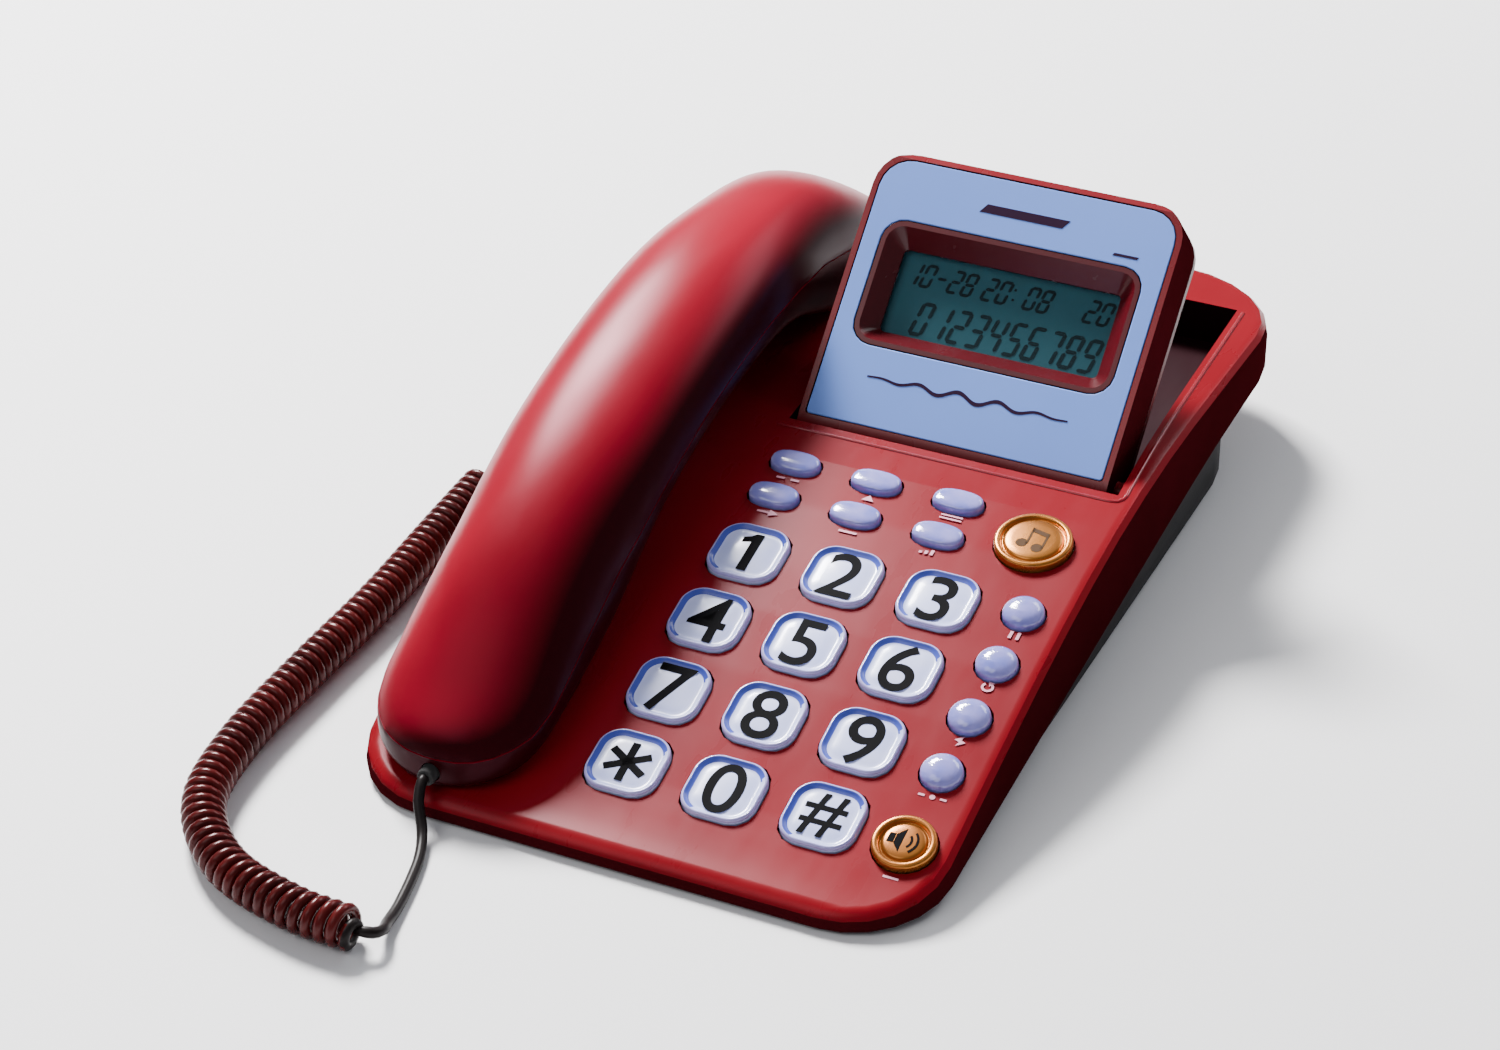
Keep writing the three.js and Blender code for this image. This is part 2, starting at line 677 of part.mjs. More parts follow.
// hook plunger, pressed down by the resting handset
const hookRest = underAt(hookY) - 0.35;
const hookCap = (w, l, r, z) => ring(roundedHalf(w, l, r, r, 3), level(z), handsetX, hookY);
add('hook_plunger', skin([
  hookCap(hookWidth + 3, hookLength + 3, 2.5, hookRest - 9.8),
  hookCap(hookWidth + 3, hookLength + 3, 2.5, hookRest - 8.7),
  hookCap(hookWidth, hookLength, 1.2, hookRest - 8.7),
  hookCap(hookWidth, hookLength, 1.2, hookRest - 1),
  hookCap(hookWidth - 1.6, hookLength - 1.6, 0.8, hookRest),
]), 'black');

// handset, lofted along Y from rounded sections
function handsetBody(shrink, around, middleSteps) {
  const front = handsetFront + shrink;
  const rear = handsetRear - shrink;
  const stations = [];
  for (const u of [0, 0.03, 0.1, 0.22, 0.4, 0.65, 1]) {
    stations.push(front + endCorner * u);
  }
  const from = front + endCorner;
  const to = rear - endCorner;
  for (let i = 1; i < middleSteps; i += 1) {
    stations.push(from + ((to - from) * i) / middleSteps);
  }
  for (const u of [1, 0.65, 0.4, 0.22, 0.1, 0.03, 0]) {
    stations.push(rear - endCorner * u);
  }
  return skin(stations.map((y) => {
    const reach = Math.max(front + endCorner - y, y - rear + endCorner, 0) / endCorner;
    const corner = endCorner * Math.sqrt(Math.max(1 - reach * reach, 0));
    const half = handsetHalf - shrink - endCorner + corner;
    const top = crestAt(y) - shrink;
    const bottom = underAt(y) + shrink;
    const middle = bottom + (top - bottom) * 0.3;
    const points = [];
    for (let i = 0; i < around; i += 1) {
      const turn = (Math.PI * 2 * (i + 0.5)) / around - Math.PI / 2;
      const power = Math.sin(turn) > 0 ? 2 / 2.2 : 2 / 3.4;
      const across = Math.sign(Math.cos(turn)) * Math.abs(Math.cos(turn)) ** power;
      const upward = Math.sign(Math.sin(turn)) * Math.abs(Math.sin(turn)) ** power;
      const height = Math.sin(turn) > 0 ? top - middle : middle - bottom;
      points.push([handsetX + half * across, y, middle + height * upward]);
    }
    return points;
  }));
}
const handsetShell = solid(handsetBody(0, 24, 17)).subtract(solid(handsetBody(handsetWall, 14, 10)));
const seamSteps = [-130, -111, -100, -90, -80, -65, -50, -35, -20, -5, 10, 25, 40, 55, 70, 85, 98, 120];
const aboveSeam = seamSteps.map((y) => [y, seamAt(y) + 0.15]).concat([[120, 120], [-130, 120]]);
const belowSeam = [[-130, -20], [120, -20]]
  .concat([...seamSteps].reverse().map((y) => [y, seamAt(y) - 0.15]));
const outerShell = handsetShell.intersect(solid(prismX(aboveSeam, -80, 0)));
add('handset_outer_shell', surface(outerShell), 'red');

// sound caps sit in round holes of the inner shell and reach down into the base pockets
function capAt(y) {
  const tilt = Math.atan2(underAt(y + 6) - underAt(y - 6), 12);
  return { y, z: underAt(y), tilt };
}
const earSpot = capAt(earY);
const mouthSpot = capAt(mouthY);
const seated = (geometry, spot) => moved(geometry, handsetX, spot.y, spot.z, spot.tilt);
let innerShell = handsetShell.intersect(solid(prismX(belowSeam, -80, 0)));
for (const spot of [earSpot, mouthSpot]) {
  innerShell = innerShell.subtract(solid(seated(disc(capRadius + 0.3, -6, 6), spot)));
}

const exitHole = new THREE.CylinderGeometry(grommetRadius + 0.3, grommetRadius + 0.3, 12, 16);
innerShell = innerShell.subtract(solid(moved(exitHole, handsetX, handsetFront, exitZ)));
const handsetScrews = [[-36, 0], [28, 1]];
for (const [y] of handsetScrews) {
  const z = underAt(y);
  innerShell = innerShell.add(solid(disc(4, z + 1, z + 5, handsetX, y, 16)))
    .subtract(solid(disc(2.7, z - 5, z + 2.6, handsetX, y, 16)))
    .subtract(solid(disc(1.3, z - 5, z + 8, handsetX, y, 12)));
}
add('handset_inner_shell', surface(innerShell), 'red');
for (const [y, i] of handsetScrews) {
  const z = underAt(y);
  const screw = solid(disc(2.3, z + 0.9, z + 2.4, handsetX, y, 16))
    .add(solid(disc(1, z + 2, z + 9, handsetX, y, 12)))
    .subtract(solid(block(handsetX - 1.5, handsetX + 1.5, y - 0.3, y + 0.3, z - 1, z + 1.5)));
  add(`handset_screw_${i + 1}`, surface(screw), 'metal');
}
const soundHoles = [[0, 0]];
for (let i = 0; i < 6; i += 1) {
  soundHoles.push([6 * Math.cos((i * Math.PI) / 3), 6 * Math.sin((i * Math.PI) / 3)]);
}
function soundCap(holes) {
  const half = (r) => roundHalf(2 * r, 2 * r, 14);
  let cap = solid(skin([
    ring(half(capRadius - 1.6), level(-1.6)),
    ring(half(capRadius - 0.4), level(-1.1)),
    ring(half(capRadius), level(-0.2)),
    ring(half(capRadius), level(1.6)),
  ]));
  for (const [x, y] of holes) {
    cap = cap.subtract(solid(disc(0.9, -5, 5, x, y, 8)));
  }
  return surface(cap);
}
add('earpiece_cap', seated(soundCap(soundHoles), earSpot), 'red');
add('mouthpiece_cap', seated(soundCap(soundHoles.slice(0, 5)), mouthSpot), 'red');

// cord: grommet in the handset end, straight tail, coil, short tail, plug in the left socket
const tube = (points, width, steps, sides) => {
  const curve = new THREE.CatmullRomCurve3(points.map((p) => new THREE.Vector3(...p)));
  const shape = new THREE.Shape();
  for (let i = 0; i < sides; i += 1) {
    const turn = (Math.PI * 2 * i) / sides;
    const x = (width / 2) * Math.cos(turn);
    const y = (width / 2) * Math.sin(turn);
    if (i === 0) {
      shape.moveTo(x, y);
    } else {
      shape.lineTo(x, y);
    }
  }
  return new THREE.ExtrudeGeometry(shape, { steps, extrudePath: curve, bevelEnabled: false });
};
const coilRest = coilWidth / 2 + 0.1;
const coilPath = [
  [-33, -154.8, coilRest], [-48.4, -153.9, coilRest], [-66.8, -147.6, coilRest],
  [-80.6, -132.8, coilRest], [-85.1, -112, coilRest], [-85.4, -84, coilRest],
  [-84.8, -56, coilRest], [-85.8, -28, coilRest], [-86.4, -6, coilRest],
];
const grommet = new THREE.CylinderGeometry(grommetRadius, grommetRadius, 6, 14);
add('cord_grommet', moved(grommet, handsetX, handsetFront + 0.5, exitZ), 'rubber');
add('cord_tail_handset', tube([
  [handsetX, handsetFront - 3.1, exitZ], [handsetX, handsetFront - 3.6, exitZ], [-41.2, -116.6, 6.4],
  [-38.3, -120.8, 2.6], [-35.6, -127, 1.4], [-33.4, -135, 1.35], [-31.8, -142.6, 1.5],
  [-30.9, -147.8, 2.2], [-29.7, -151.4, 3.5], [-30.3, -154, 4.5], [-31.8, -154.7, coilRest],
], wireWidth, 34, 8), 'black');
add('cord_coil', tube(coilPath, coilWidth, 28, 10), 'cord');
add('cord_tail_base', tube([
  [-86.4, -5, 4.9], [-86, 3, 3.4], [-84.4, 12, 3.6], [-80, 19.2, 5.6], [-73.5, plugY, plugZ],
], wireWidth, 16, 8), 'black');
add('cord_plug', block(sideFace - 12, sideFace + 6, plugY - 3.6, plugY + 3.6, plugZ - 3, plugZ + 3), 'glass');

const phone = new THREE.Group();
phone.name = 'desk_telephone';
for (const part of parts) {
  phone.add(part);
}
phone.add(display);

export default phone;
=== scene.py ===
# Corded desk telephone with a tilting caller display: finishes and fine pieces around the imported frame.
import json
import math

import bpy
from mathutils import Matrix, Vector
from mathutils.bvhtree import BVHTree

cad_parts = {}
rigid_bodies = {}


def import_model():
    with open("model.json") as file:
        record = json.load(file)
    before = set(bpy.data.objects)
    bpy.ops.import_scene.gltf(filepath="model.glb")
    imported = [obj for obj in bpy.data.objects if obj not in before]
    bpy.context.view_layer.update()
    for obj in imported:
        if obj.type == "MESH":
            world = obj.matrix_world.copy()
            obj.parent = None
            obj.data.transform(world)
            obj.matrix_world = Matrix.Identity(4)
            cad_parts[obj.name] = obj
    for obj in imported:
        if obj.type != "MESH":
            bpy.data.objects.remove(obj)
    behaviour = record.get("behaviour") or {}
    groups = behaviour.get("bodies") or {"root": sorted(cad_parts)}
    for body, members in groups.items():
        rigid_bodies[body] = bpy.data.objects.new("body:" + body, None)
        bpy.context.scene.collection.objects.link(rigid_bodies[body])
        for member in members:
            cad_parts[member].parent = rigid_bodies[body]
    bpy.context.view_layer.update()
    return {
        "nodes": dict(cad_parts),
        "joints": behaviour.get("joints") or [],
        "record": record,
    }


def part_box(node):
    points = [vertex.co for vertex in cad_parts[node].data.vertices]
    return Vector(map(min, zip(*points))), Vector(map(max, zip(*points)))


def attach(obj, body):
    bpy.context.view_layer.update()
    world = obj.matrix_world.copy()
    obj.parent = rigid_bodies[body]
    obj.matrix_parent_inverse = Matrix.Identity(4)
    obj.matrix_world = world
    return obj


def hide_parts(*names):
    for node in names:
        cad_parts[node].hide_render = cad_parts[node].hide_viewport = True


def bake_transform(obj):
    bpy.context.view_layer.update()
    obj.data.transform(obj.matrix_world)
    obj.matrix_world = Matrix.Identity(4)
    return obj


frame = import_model()
nodes = frame["nodes"]
joints = {joint["name"]: joint for joint in frame["joints"]}
print("frame loaded")


def clearPick():
    for thing in bpy.context.selected_objects:
        thing.select_set(False)
    bpy.context.view_layer.objects.active = None


def pick(piece):
    clearPick()
    piece.select_set(True)
    bpy.context.view_layer.objects.active = piece


def editMode(piece):
    pick(piece)
    bpy.ops.object.mode_set(mode="EDIT")


def objectMode():
    bpy.ops.object.mode_set(mode="OBJECT")


def selectBy(kind):
    # "EDGE" or "FACE"
    bpy.context.scene.tool_settings.mesh_select_mode = (False, kind == "EDGE", kind == "FACE")


def selectNone(piece):
    for parts in (piece.data.vertices, piece.data.edges, piece.data.polygons):
        for part in parts:
            part.select = False


def applyModifiers(piece):
    pick(piece)
    for modifier in list(piece.modifiers):
        bpy.ops.object.modifier_apply(modifier=modifier.name)


def setMaterial(piece, *materials):
    piece.data.materials.clear()
    for material in materials:
        piece.data.materials.append(material)


def placeMesh(piece, place):
    # the place goes into the mesh and the object stays at the origin
    piece.data.transform(place @ piece.matrix_basis)
    piece.matrix_basis = Matrix.Identity(4)


def settle(piece, name, body, material, stands=()):
    piece.name = name
    piece.data.name = name
    if material:
        setMaterial(piece, material)
    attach(piece, body)
    if stands:
        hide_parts(*stands)


def copyOf(piece):
    twin = piece.copy()
    twin.data = piece.data.copy()
    bpy.context.scene.collection.objects.link(twin)
    return twin


def joinPieces(pieces):
    if len(pieces) > 1:
        clearPick()
        for piece in pieces:
            piece.select_set(True)
        bpy.context.view_layer.objects.active = pieces[0]
        bpy.ops.object.join()
    return pieces[0]


def bodyOf(node):
    for body, members in frame["record"]["behaviour"]["bodies"].items():
        if node in members:
            return body
    return None


cameraSetup = {
    "spot": (0.2749, -0.6333, 0.4609),
    "azimuth": 25.234,
    "elevation": 32.962,
    "roll": -0.498,
    "lens": 91.85,
    "sensor": 36,
    "farthest": 20,
}


def makeCamera(setup):
    data = bpy.data.cameras.new("camera")
    data.lens = setup["lens"]
    data.sensor_width = setup["sensor"]
    data.clip_end = setup["farthest"]
    camera = bpy.data.objects.new("camera", data)
    bpy.context.scene.collection.objects.link(camera)
    turn = Matrix.Rotation(math.radians(setup["azimuth"]), 4, "Z")
    turn = turn @ Matrix.Rotation(math.radians(90 - setup["elevation"]), 4, "X")
    turn = turn @ Matrix.Rotation(math.radians(setup["roll"]), 4, "Z")
    camera.matrix_world = Matrix.Translation(setup["spot"]) @ turn
    bpy.context.scene.camera = camera


makeCamera(cameraSetup)
print("camera placed")


def startMaterial(name):
    material = bpy.data.materials.new(name)
    material.use_nodes = True
    tree = material.node_tree
    shader = tree.nodes["Principled BSDF"]
    coords = tree.nodes.new("ShaderNodeTexCoord")
    return material, tree, shader, coords


def noiseNode(tree, coords, scale, detail=2.0, stretch=(1, 1, 1)):
    mapping = tree.nodes.new("ShaderNodeMapping")
    mapping.inputs["Scale"].default_value = stretch
    tree.links.new(coords.outputs["Object"], mapping.inputs["Vector"])
    noise = tree.nodes.new("ShaderNodeTexNoise")
    noise.inputs["Scale"].default_value = scale
    noise.inputs["Detail"].default_value = detail
    tree.links.new(mapping.outputs["Vector"], noise.inputs["Vector"])
    return noise


def rangeNode(tree, source, low, high, fromLow=0.3, fromHigh=0.7):
    span = tree.nodes.new("ShaderNodeMapRange")
    span.inputs["From Min"].default_value = fromLow
    span.inputs["From Max"].default_value = fromHigh
    span.inputs["To Min"].default_value = low
    span.inputs["To Max"].default_value = high
    tree.links.new(source, span.inputs["Value"])
    return span.outputs["Result"]


def mixNode(tree, share, first, second):
    # the second colour may also be another node's output
    mix = tree.nodes.new("ShaderNodeMix")
    mix.data_type = "RGBA"
    mix.inputs["A"].default_value = (*first, 1)
    if isinstance(second, bpy.types.NodeSocket):
        tree.links.new(second, mix.inputs["B"])
    else:
        mix.inputs["B"].default_value = (*second, 1)
    tree.links.new(share, mix.inputs["Factor"])
    return mix.outputs["Result"]


def bumpNode(tree, shader, height, strength, distance):
    bump = tree.nodes.new("ShaderNodeBump")
    bump.inputs["Strength"].default_value = strength
    bump.inputs["Distance"].default_value = distance
    tree.links.new(height, bump.inputs["Height"])
    tree.links.new(bump.outputs["Normal"], shader.inputs["Normal"])


def darkSides(tree, colour, look):
    # painted shade: full colour where the surface faces the light's direction, the shade colour where it
    # turns away from it
    geometry = tree.nodes.new("ShaderNodeNewGeometry")
    facing = tree.nodes.new("ShaderNodeVectorMath")
    facing.operation = "DOT_PRODUCT"
    facing.inputs[1].default_value = look["lightFrom"]
    tree.links.new(geometry.outputs["Normal"], facing.inputs[0])
    share = rangeNode(tree, facing.outputs["Value"], 0, 1, *look["shadeSpan"])
    return mixNode(tree, share, look["sides"], colour)


# what a look below leaves unsaid
plainLook = {
    "cloud": 18,
    "marks": 160,
    "marksStretch": (1, 0.25, 1),
    "grain": 2600,
    "bump": 0.08,
    "bumpHeight": 0.0001,
    "smoother": 0.02,
    "rougher": 0.04,
    "metal": 0,
    "coat": 0,
    "coatRough": 0.08,
    "specular": 0.5,
    "tint": (1, 1, 1),
    "alpha": 1,
    "shadeSpan": (0.05, 0.7),
}


def mouldedPlastic(name, look):
    # clouded colour, fine spark texture and faint handling marks in the gloss
    look = {**plainLook, **look}
    material, tree, shader, coords = startMaterial(name)
    clouds = noiseNode(tree, coords, look["cloud"], 3)
    share = rangeNode(tree, clouds.outputs["Fac"], 0, 1)
    colour = mixNode(tree, share, look["colour"], look["shade"])
    # painted shade on faces turned away from the light, where the look asks for it
    if "sides" in look:
        colour = darkSides(tree, colour, look)
    tree.links.new(colour, shader.inputs["Base Color"])
    marks = noiseNode(tree, coords, look["marks"], 4, look["marksStretch"])
    least, most = look["rough"] - look["smoother"], look["rough"] + look["rougher"]
    tree.links.new(rangeNode(tree, marks.outputs["Fac"], least, most), shader.inputs["Roughness"])
    grain = noiseNode(tree, coords, look["grain"], 2)
    bumpNode(tree, shader, grain.outputs["Fac"], look["bump"], look["bumpHeight"])
    shader.inputs["Metallic"].default_value = look["metal"]
    shader.inputs["Coat Weight"].default_value = look["coat"]
    shader.inputs["Coat Roughness"].default_value = look["coatRough"]
    shader.inputs["Specular IOR Level"].default_value = look["specular"]
    shader.inputs["Specular Tint"].default_value = (*look["tint"], 1)
    shader.inputs["Alpha"].default_value = look["alpha"]
    return material


looks = {
    "redGloss": {"colour": (0.16, 0.003, 0.008), "shade": (0.13, 0.003, 0.007), "rough": 0.26,
                 "specular": 0.3, "bump": 0.02},
    # painted shade: the housing's red darkens to near black on faces that turn away from straight up
    "redHousing": {"colour": (0.21, 0.004, 0.010), "shade": (0.17, 0.003, 0.008), "rough": 0.28,
                   "specular": 0.14, "tint": (1, 0.62, 0.68), "bump": 0.02,
                   "sides": (0.03, 0.002, 0.003), "lightFrom": (0, 0, 1)},
    # painted shade: the handset's red darkens to near black on faces turned away from the upper left and
    # back, where the key lamp stands
    "redHandset": {"colour": (0.27, 0.004, 0.018), "shade": (0.22, 0.003, 0.013), "rough": 0.3,
                   "specular": 0.11, "tint": (1, 0.3, 0.45), "bump": 0.015,
                   "sides": (0.02, 0.001, 0.002), "lightFrom": (-0.5, 0.36, 0.79)},
    "lipRed": {"colour": (0.24, 0.005, 0.014), "shade": (0.20, 0.004, 0.011), "rough": 0.22,
               "specular": 0.6, "tint": (1, 0.7, 0.75), "bump": 0.015},
    # painted shade for walls turned away from the top: near-black red without reflection
    "wallShadeRed": {"colour": (0.040, 0.003, 0.005), "shade": (0.026, 0.002, 0.003), "rough": 0.42,
                "specular": 0.0, "bump": 0.02},
    # painted shade inside the display's recess
    "recessShadeRed": {"colour": (0.022, 0.003, 0.006), "shade": (0.012, 0.002, 0.004), "rough": 0.34,
                  "specular": 0.15, "bump": 0.05},
    "darkRed": {"colour": (0.05, 0.003, 0.005), "shade": (0.035, 0.003, 0.004), "rough": 0.3,
                "specular": 0.15},
    "bezelRed": {"colour": (0.075, 0.003, 0.007), "shade": (0.055, 0.003, 0.006), "rough": 0.24,
                 "specular": 0.3, "bump": 0.02},
    "blackTray": {"colour": (0.008, 0.006, 0.006), "shade": (0.005, 0.004, 0.004), "rough": 0.5,
                  "bump": 0.3, "specular": 0.12, "grain": 1400},
    "rubberFoot": {"colour": (0.015, 0.015, 0.015), "shade": (0.022, 0.021, 0.02), "rough": 0.8,
                   "bump": 0.4, "grain": 1800},
    "digitKey": {"colour": (0.50, 0.56, 0.96), "shade": (0.62, 0.66, 0.98), "rough": 0.22, "coat": 0.3,
                 "bump": 0.015, "cloud": 150},
    # painted shade on the upper left of each key's dish wall
    "keyShadeBlue": {"colour": (0.05, 0.07, 0.40), "shade": (0.08, 0.11, 0.48), "rough": 0.2,
                "specular": 0.3, "bump": 0.02},
    "keyRim": {"colour": (0.36, 0.34, 0.72), "shade": (0.44, 0.40, 0.74), "rough": 0.18, "coat": 0.5,
               "bump": 0.02},
    "pearlKey": {"colour": (0.32, 0.30, 0.70), "shade": (0.17, 0.19, 0.60), "rough": 0.14, "coat": 0.8,
                 "bump": 0.02, "cloud": 220},
    "goldCap": {"colour": (0.44, 0.16, 0.026), "shade": (0.27, 0.085, 0.014), "rough": 0.26,
                "metal": 0.75, "cloud": 90},
    "bluePlate": {"colour": (0.17, 0.31, 0.84), "shade": (0.19, 0.34, 0.88), "rough": 0.42,
                  "bump": 0.02, "specular": 0.2},
    "lcdPanel": {"colour": (0.014, 0.085, 0.115), "shade": (0.019, 0.10, 0.13), "rough": 0.55,
                 "bump": 0.05, "specular": 0.1},
    "lcdGlass": {"colour": (0.10, 0.20, 0.23), "shade": (0.10, 0.21, 0.24), "rough": 0.2, "alpha": 0.05,
                 "specular": 0.15, "bump": 0.0},
    "lcdInk": {"colour": (0.002, 0.005, 0.008), "shade": (0.003, 0.007, 0.010), "rough": 0.6,
               "specular": 0.02},
    "blackInk": {"colour": (0.001, 0.001, 0.002), "shade": (0.002, 0.002, 0.003), "rough": 0.6,
                 "specular": 0.03, "bump": 0},
    "plumInk": {"colour": (0.020, 0.004, 0.022), "shade": (0.024, 0.005, 0.026), "rough": 0.5,
                "specular": 0.08},
    "paleInk": {"colour": (0.80, 0.36, 0.46), "shade": (0.72, 0.30, 0.40), "rough": 0.5,
                "specular": 0.2},
    "brownInk": {"colour": (0.05, 0.02, 0.004), "shade": (0.07, 0.03, 0.006), "rough": 0.5,
                 "specular": 0.08},
    "steel": {"colour": (0.42, 0.42, 0.44), "shade": (0.34, 0.34, 0.35), "rough": 0.32, "metal": 1,
              "cloud": 300},
    "matRubber": {"colour": (0.5, 0.5, 0.52), "shade": (0.45, 0.45, 0.47), "rough": 0.7},
    "board": {"colour": (0.015, 0.13, 0.05), "shade": (0.02, 0.16, 0.06), "rough": 0.4},
    "coilRed": {"colour": (0.075, 0.005, 0.005), "shade": (0.035, 0.003, 0.003), "rough": 0.26,
                "specular": 0.22, "tint": (1, 0.7, 0.7), "bump": 0.05, "cloud": 60},
    "tailBlack": {"colour": (0.008, 0.006, 0.006), "shade": (0.013, 0.008, 0.008), "rough": 0.4,
                  "specular": 0.12},
    "smokyPlug": {"colour": (0.16, 0.14, 0.13), "shade": (0.2, 0.18, 0.17), "rough": 0.15, "coat": 0.3},
}
finish = {name: mouldedPlastic(name, look) for name, look in looks.items()}
print("finishes made")

cordSetup = {
    "wire": 0.0023,
    "coilWidth": 0.0093,
    "pitch": 0.00272,
    "perTurn": 16,  # points in a turn
    "grown": 0.6,  # turns in which the coil grows from its centre line to full width
    "coilStep": 0.0004,
    "tailStep": 0.0016,
    # points in mm, from the handset's grommet to the base's socket
    "handsetTail": [
        (-42, -112.6, 8.8), (-42, -113.6, 8.8), (-41.2, -116.6, 6.4), (-38.3, -120.8, 2.6),
        (-35.6, -127, 1.4), (-33.4, -135, 1.35), (-31.8, -142.6, 1.5), (-30.9, -147.8, 2.2),
        (-29.7, -151.4, 3.5), (-30.3, -154, 4.5), (-33, -154.8, 4.75),
    ],
    "coil": [
        (-33, -154.8, 4.75), (-48.4, -153.9, 4.75), (-66.8, -147.6, 4.75), (-80.6, -132.8, 4.75),
        (-85.1, -112, 4.75), (-85.4, -84, 4.75), (-84.8, -56, 4.75), (-85.8, -28, 4.75), (-86.4, -6, 4.75),
    ],
    "baseTail": [
        (-86.4, -6, 4.75), (-86, 3, 3.4), (-84.4, 12, 3.6), (-80, 19.2, 5.6), (-73.5, 22, 7.6),
        (-72.1, 22, 7.6),
    ],
    # past these places the wire is one of the black tails
    "frontTailX": -0.0345,
    "sideTailX": -0.05,
    "sideTailY": -0.1475,
    "rearTailY": -0.0062,
    # a place on the cord by the base, and a place by the handset
    "still": (-0.0795, 0, 0),
    "lifted": (-0.042, 0, 0),
}


def smoothLine(points, step):
    # a Catmull-Rom line through the points, with one point about every step
    corners = [Vector(p) * 0.001 for p in points]
    corners = [corners[0] * 2 - corners[1]] + corners + [corners[-1] * 2 - corners[-2]]
    line = []
    for i in range(1, len(corners) - 2):
        a, b, c, d = corners[i - 1:i + 3]
        count = max(2, round((c - b).length / step))
        for k in range(count):
            t = k / count
            spot = b * 2 + (c - a) * t + (a * 2 - b * 5 + c * 4 - d) * t ** 2
            line.append((spot + (b * 3 - a - c * 3 + d) * t ** 3) / 2)
    line.append(corners[-2])
    return line


def coilLine(setup):
    centre = smoothLine(setup["coil"], setup["coilStep"])
    along = [0.0]
    for a, b in zip(centre, centre[1:]):
        along.append(along[-1] + (b - a).length)
    total = along[-1]
    radius = (setup["coilWidth"] - setup["wire"]) / 2
    turns = round(total / setup["pitch"])
    count = turns * setup["perTurn"]
    grown = setup["perTurn"] * setup["grown"]
    line = []
    k = 0
    for i in range(count + 1):
        reach = total * i / count
        while k < len(along) - 2 and along[k + 1] < reach:
            k += 1
        share = (reach - along[k]) / (along[k + 1] - along[k])
        spot = centre[k].lerp(centre[k + 1], share)
        heading = (centre[k + 1] - centre[k]).normalized()
        side = heading.cross(Vector((0, 0, 1))).normalized()
        upward = side.cross(heading)
        # both ends grow out of the centre line
        grow = min(1, i / grown, (count - i) / grown)
        turn = 2 * math.pi * i / setup["perTurn"]
        line.append(spot + (side * math.cos(turn) + upward * math.sin(turn)) * radius * grow)
    return line


def makeCord(setup):
    front = smoothLine(setup["handsetTail"], setup["tailStep"])
    coil = coilLine(setup)
    rear = smoothLine(setup["baseTail"], setup["tailStep"])
    route = front[:-1] + coil + rear[1:]
    curve = bpy.data.curves.new("curly_cord", "CURVE")
    curve.dimensions = "3D"
    curve.bevel_depth = setup["wire"] / 2
    curve.bevel_resolution = 2
    curve.use_fill_caps = True
    spline = curve.splines.new("POLY")
    spline.points.add(len(route) - 1)
    for point, spot in zip(spline.points, route):
        point.co = (*spot, 1)
    cord = bpy.data.objects.new("curly_cord", curve)
    bpy.context.scene.collection.objects.link(cord)
    pick(cord)
    bpy.ops.object.convert(target="MESH")
    cord = bpy.context.view_layer.objects.active
    bpy.ops.object.shade_smooth()
    setMaterial(cord, finish["coilRed"], finish["tailBlack"])
    for face in cord.data.polygons:
        spot = face.center
        beside = spot.y > setup["sideTailY"] and spot.x > setup["sideTailX"]
        black = spot.x > setup["frontTailX"] or beside or spot.y > setup["rearTailY"]
        face.material_index = 1 if black else 0
    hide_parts("cord_tail_handset", "cord_coil", "cord_tail_base")
    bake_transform(cord)


makeCord(cordSetup)

# how the shells' meshes are welded, flattened and bevelled
softening = {
    "weld": 0.00001,
    "flatness": 0.3,
    "wideEdge": 0.00035,
    "normalWeight": 80,
}
# angles in degrees, and how strongly and often the broad faces are evened out
handsetRounding = {
    "sharp": 42,
    "faceTurn": 50,
    "shapeTurn": 60,
    "levels": 2,
    "evenness": 0.5,
    "passes": 14,
}


def skinOf(node):
    piece = bpy.data.objects.new(node + "_skin", nodes[node].data.copy())
    bpy.context.scene.collection.objects.link(piece)
    if piece.data.has_custom_normals:
        pick(piece)
        bpy.ops.mesh.customdata_custom_splitnormals_clear()
    editMode(piece)
    bpy.ops.mesh.select_all(action="SELECT")
    bpy.ops.mesh.remove_doubles(threshold=softening["weld"])
    objectMode()
    return piece


def softEdges(piece, width, angle):
    editMode(piece)
    bpy.ops.mesh.select_all(action="SELECT")
    bpy.ops.mesh.dissolve_limited(angle_limit=math.radians(softening["flatness"]))
    objectMode()
    bpy.ops.object.shade_smooth_by_angle(angle=math.radians(angle))
    bevel = piece.modifiers.new("edges", "BEVEL")
    bevel.width = width
    bevel.segments = 3 if width > softening["wideEdge"] else 2
    bevel.limit_method = "ANGLE"
    bevel.angle_limit = math.radians(angle)
    bevel.harden_normals = True
    applyModifiers(piece)
    weighted = piece.modifiers.new("flat", "WEIGHTED_NORMAL")
    weighted.keep_sharp = True
    weighted.weight = softening["normalWeight"]
    applyModifiers(piece)


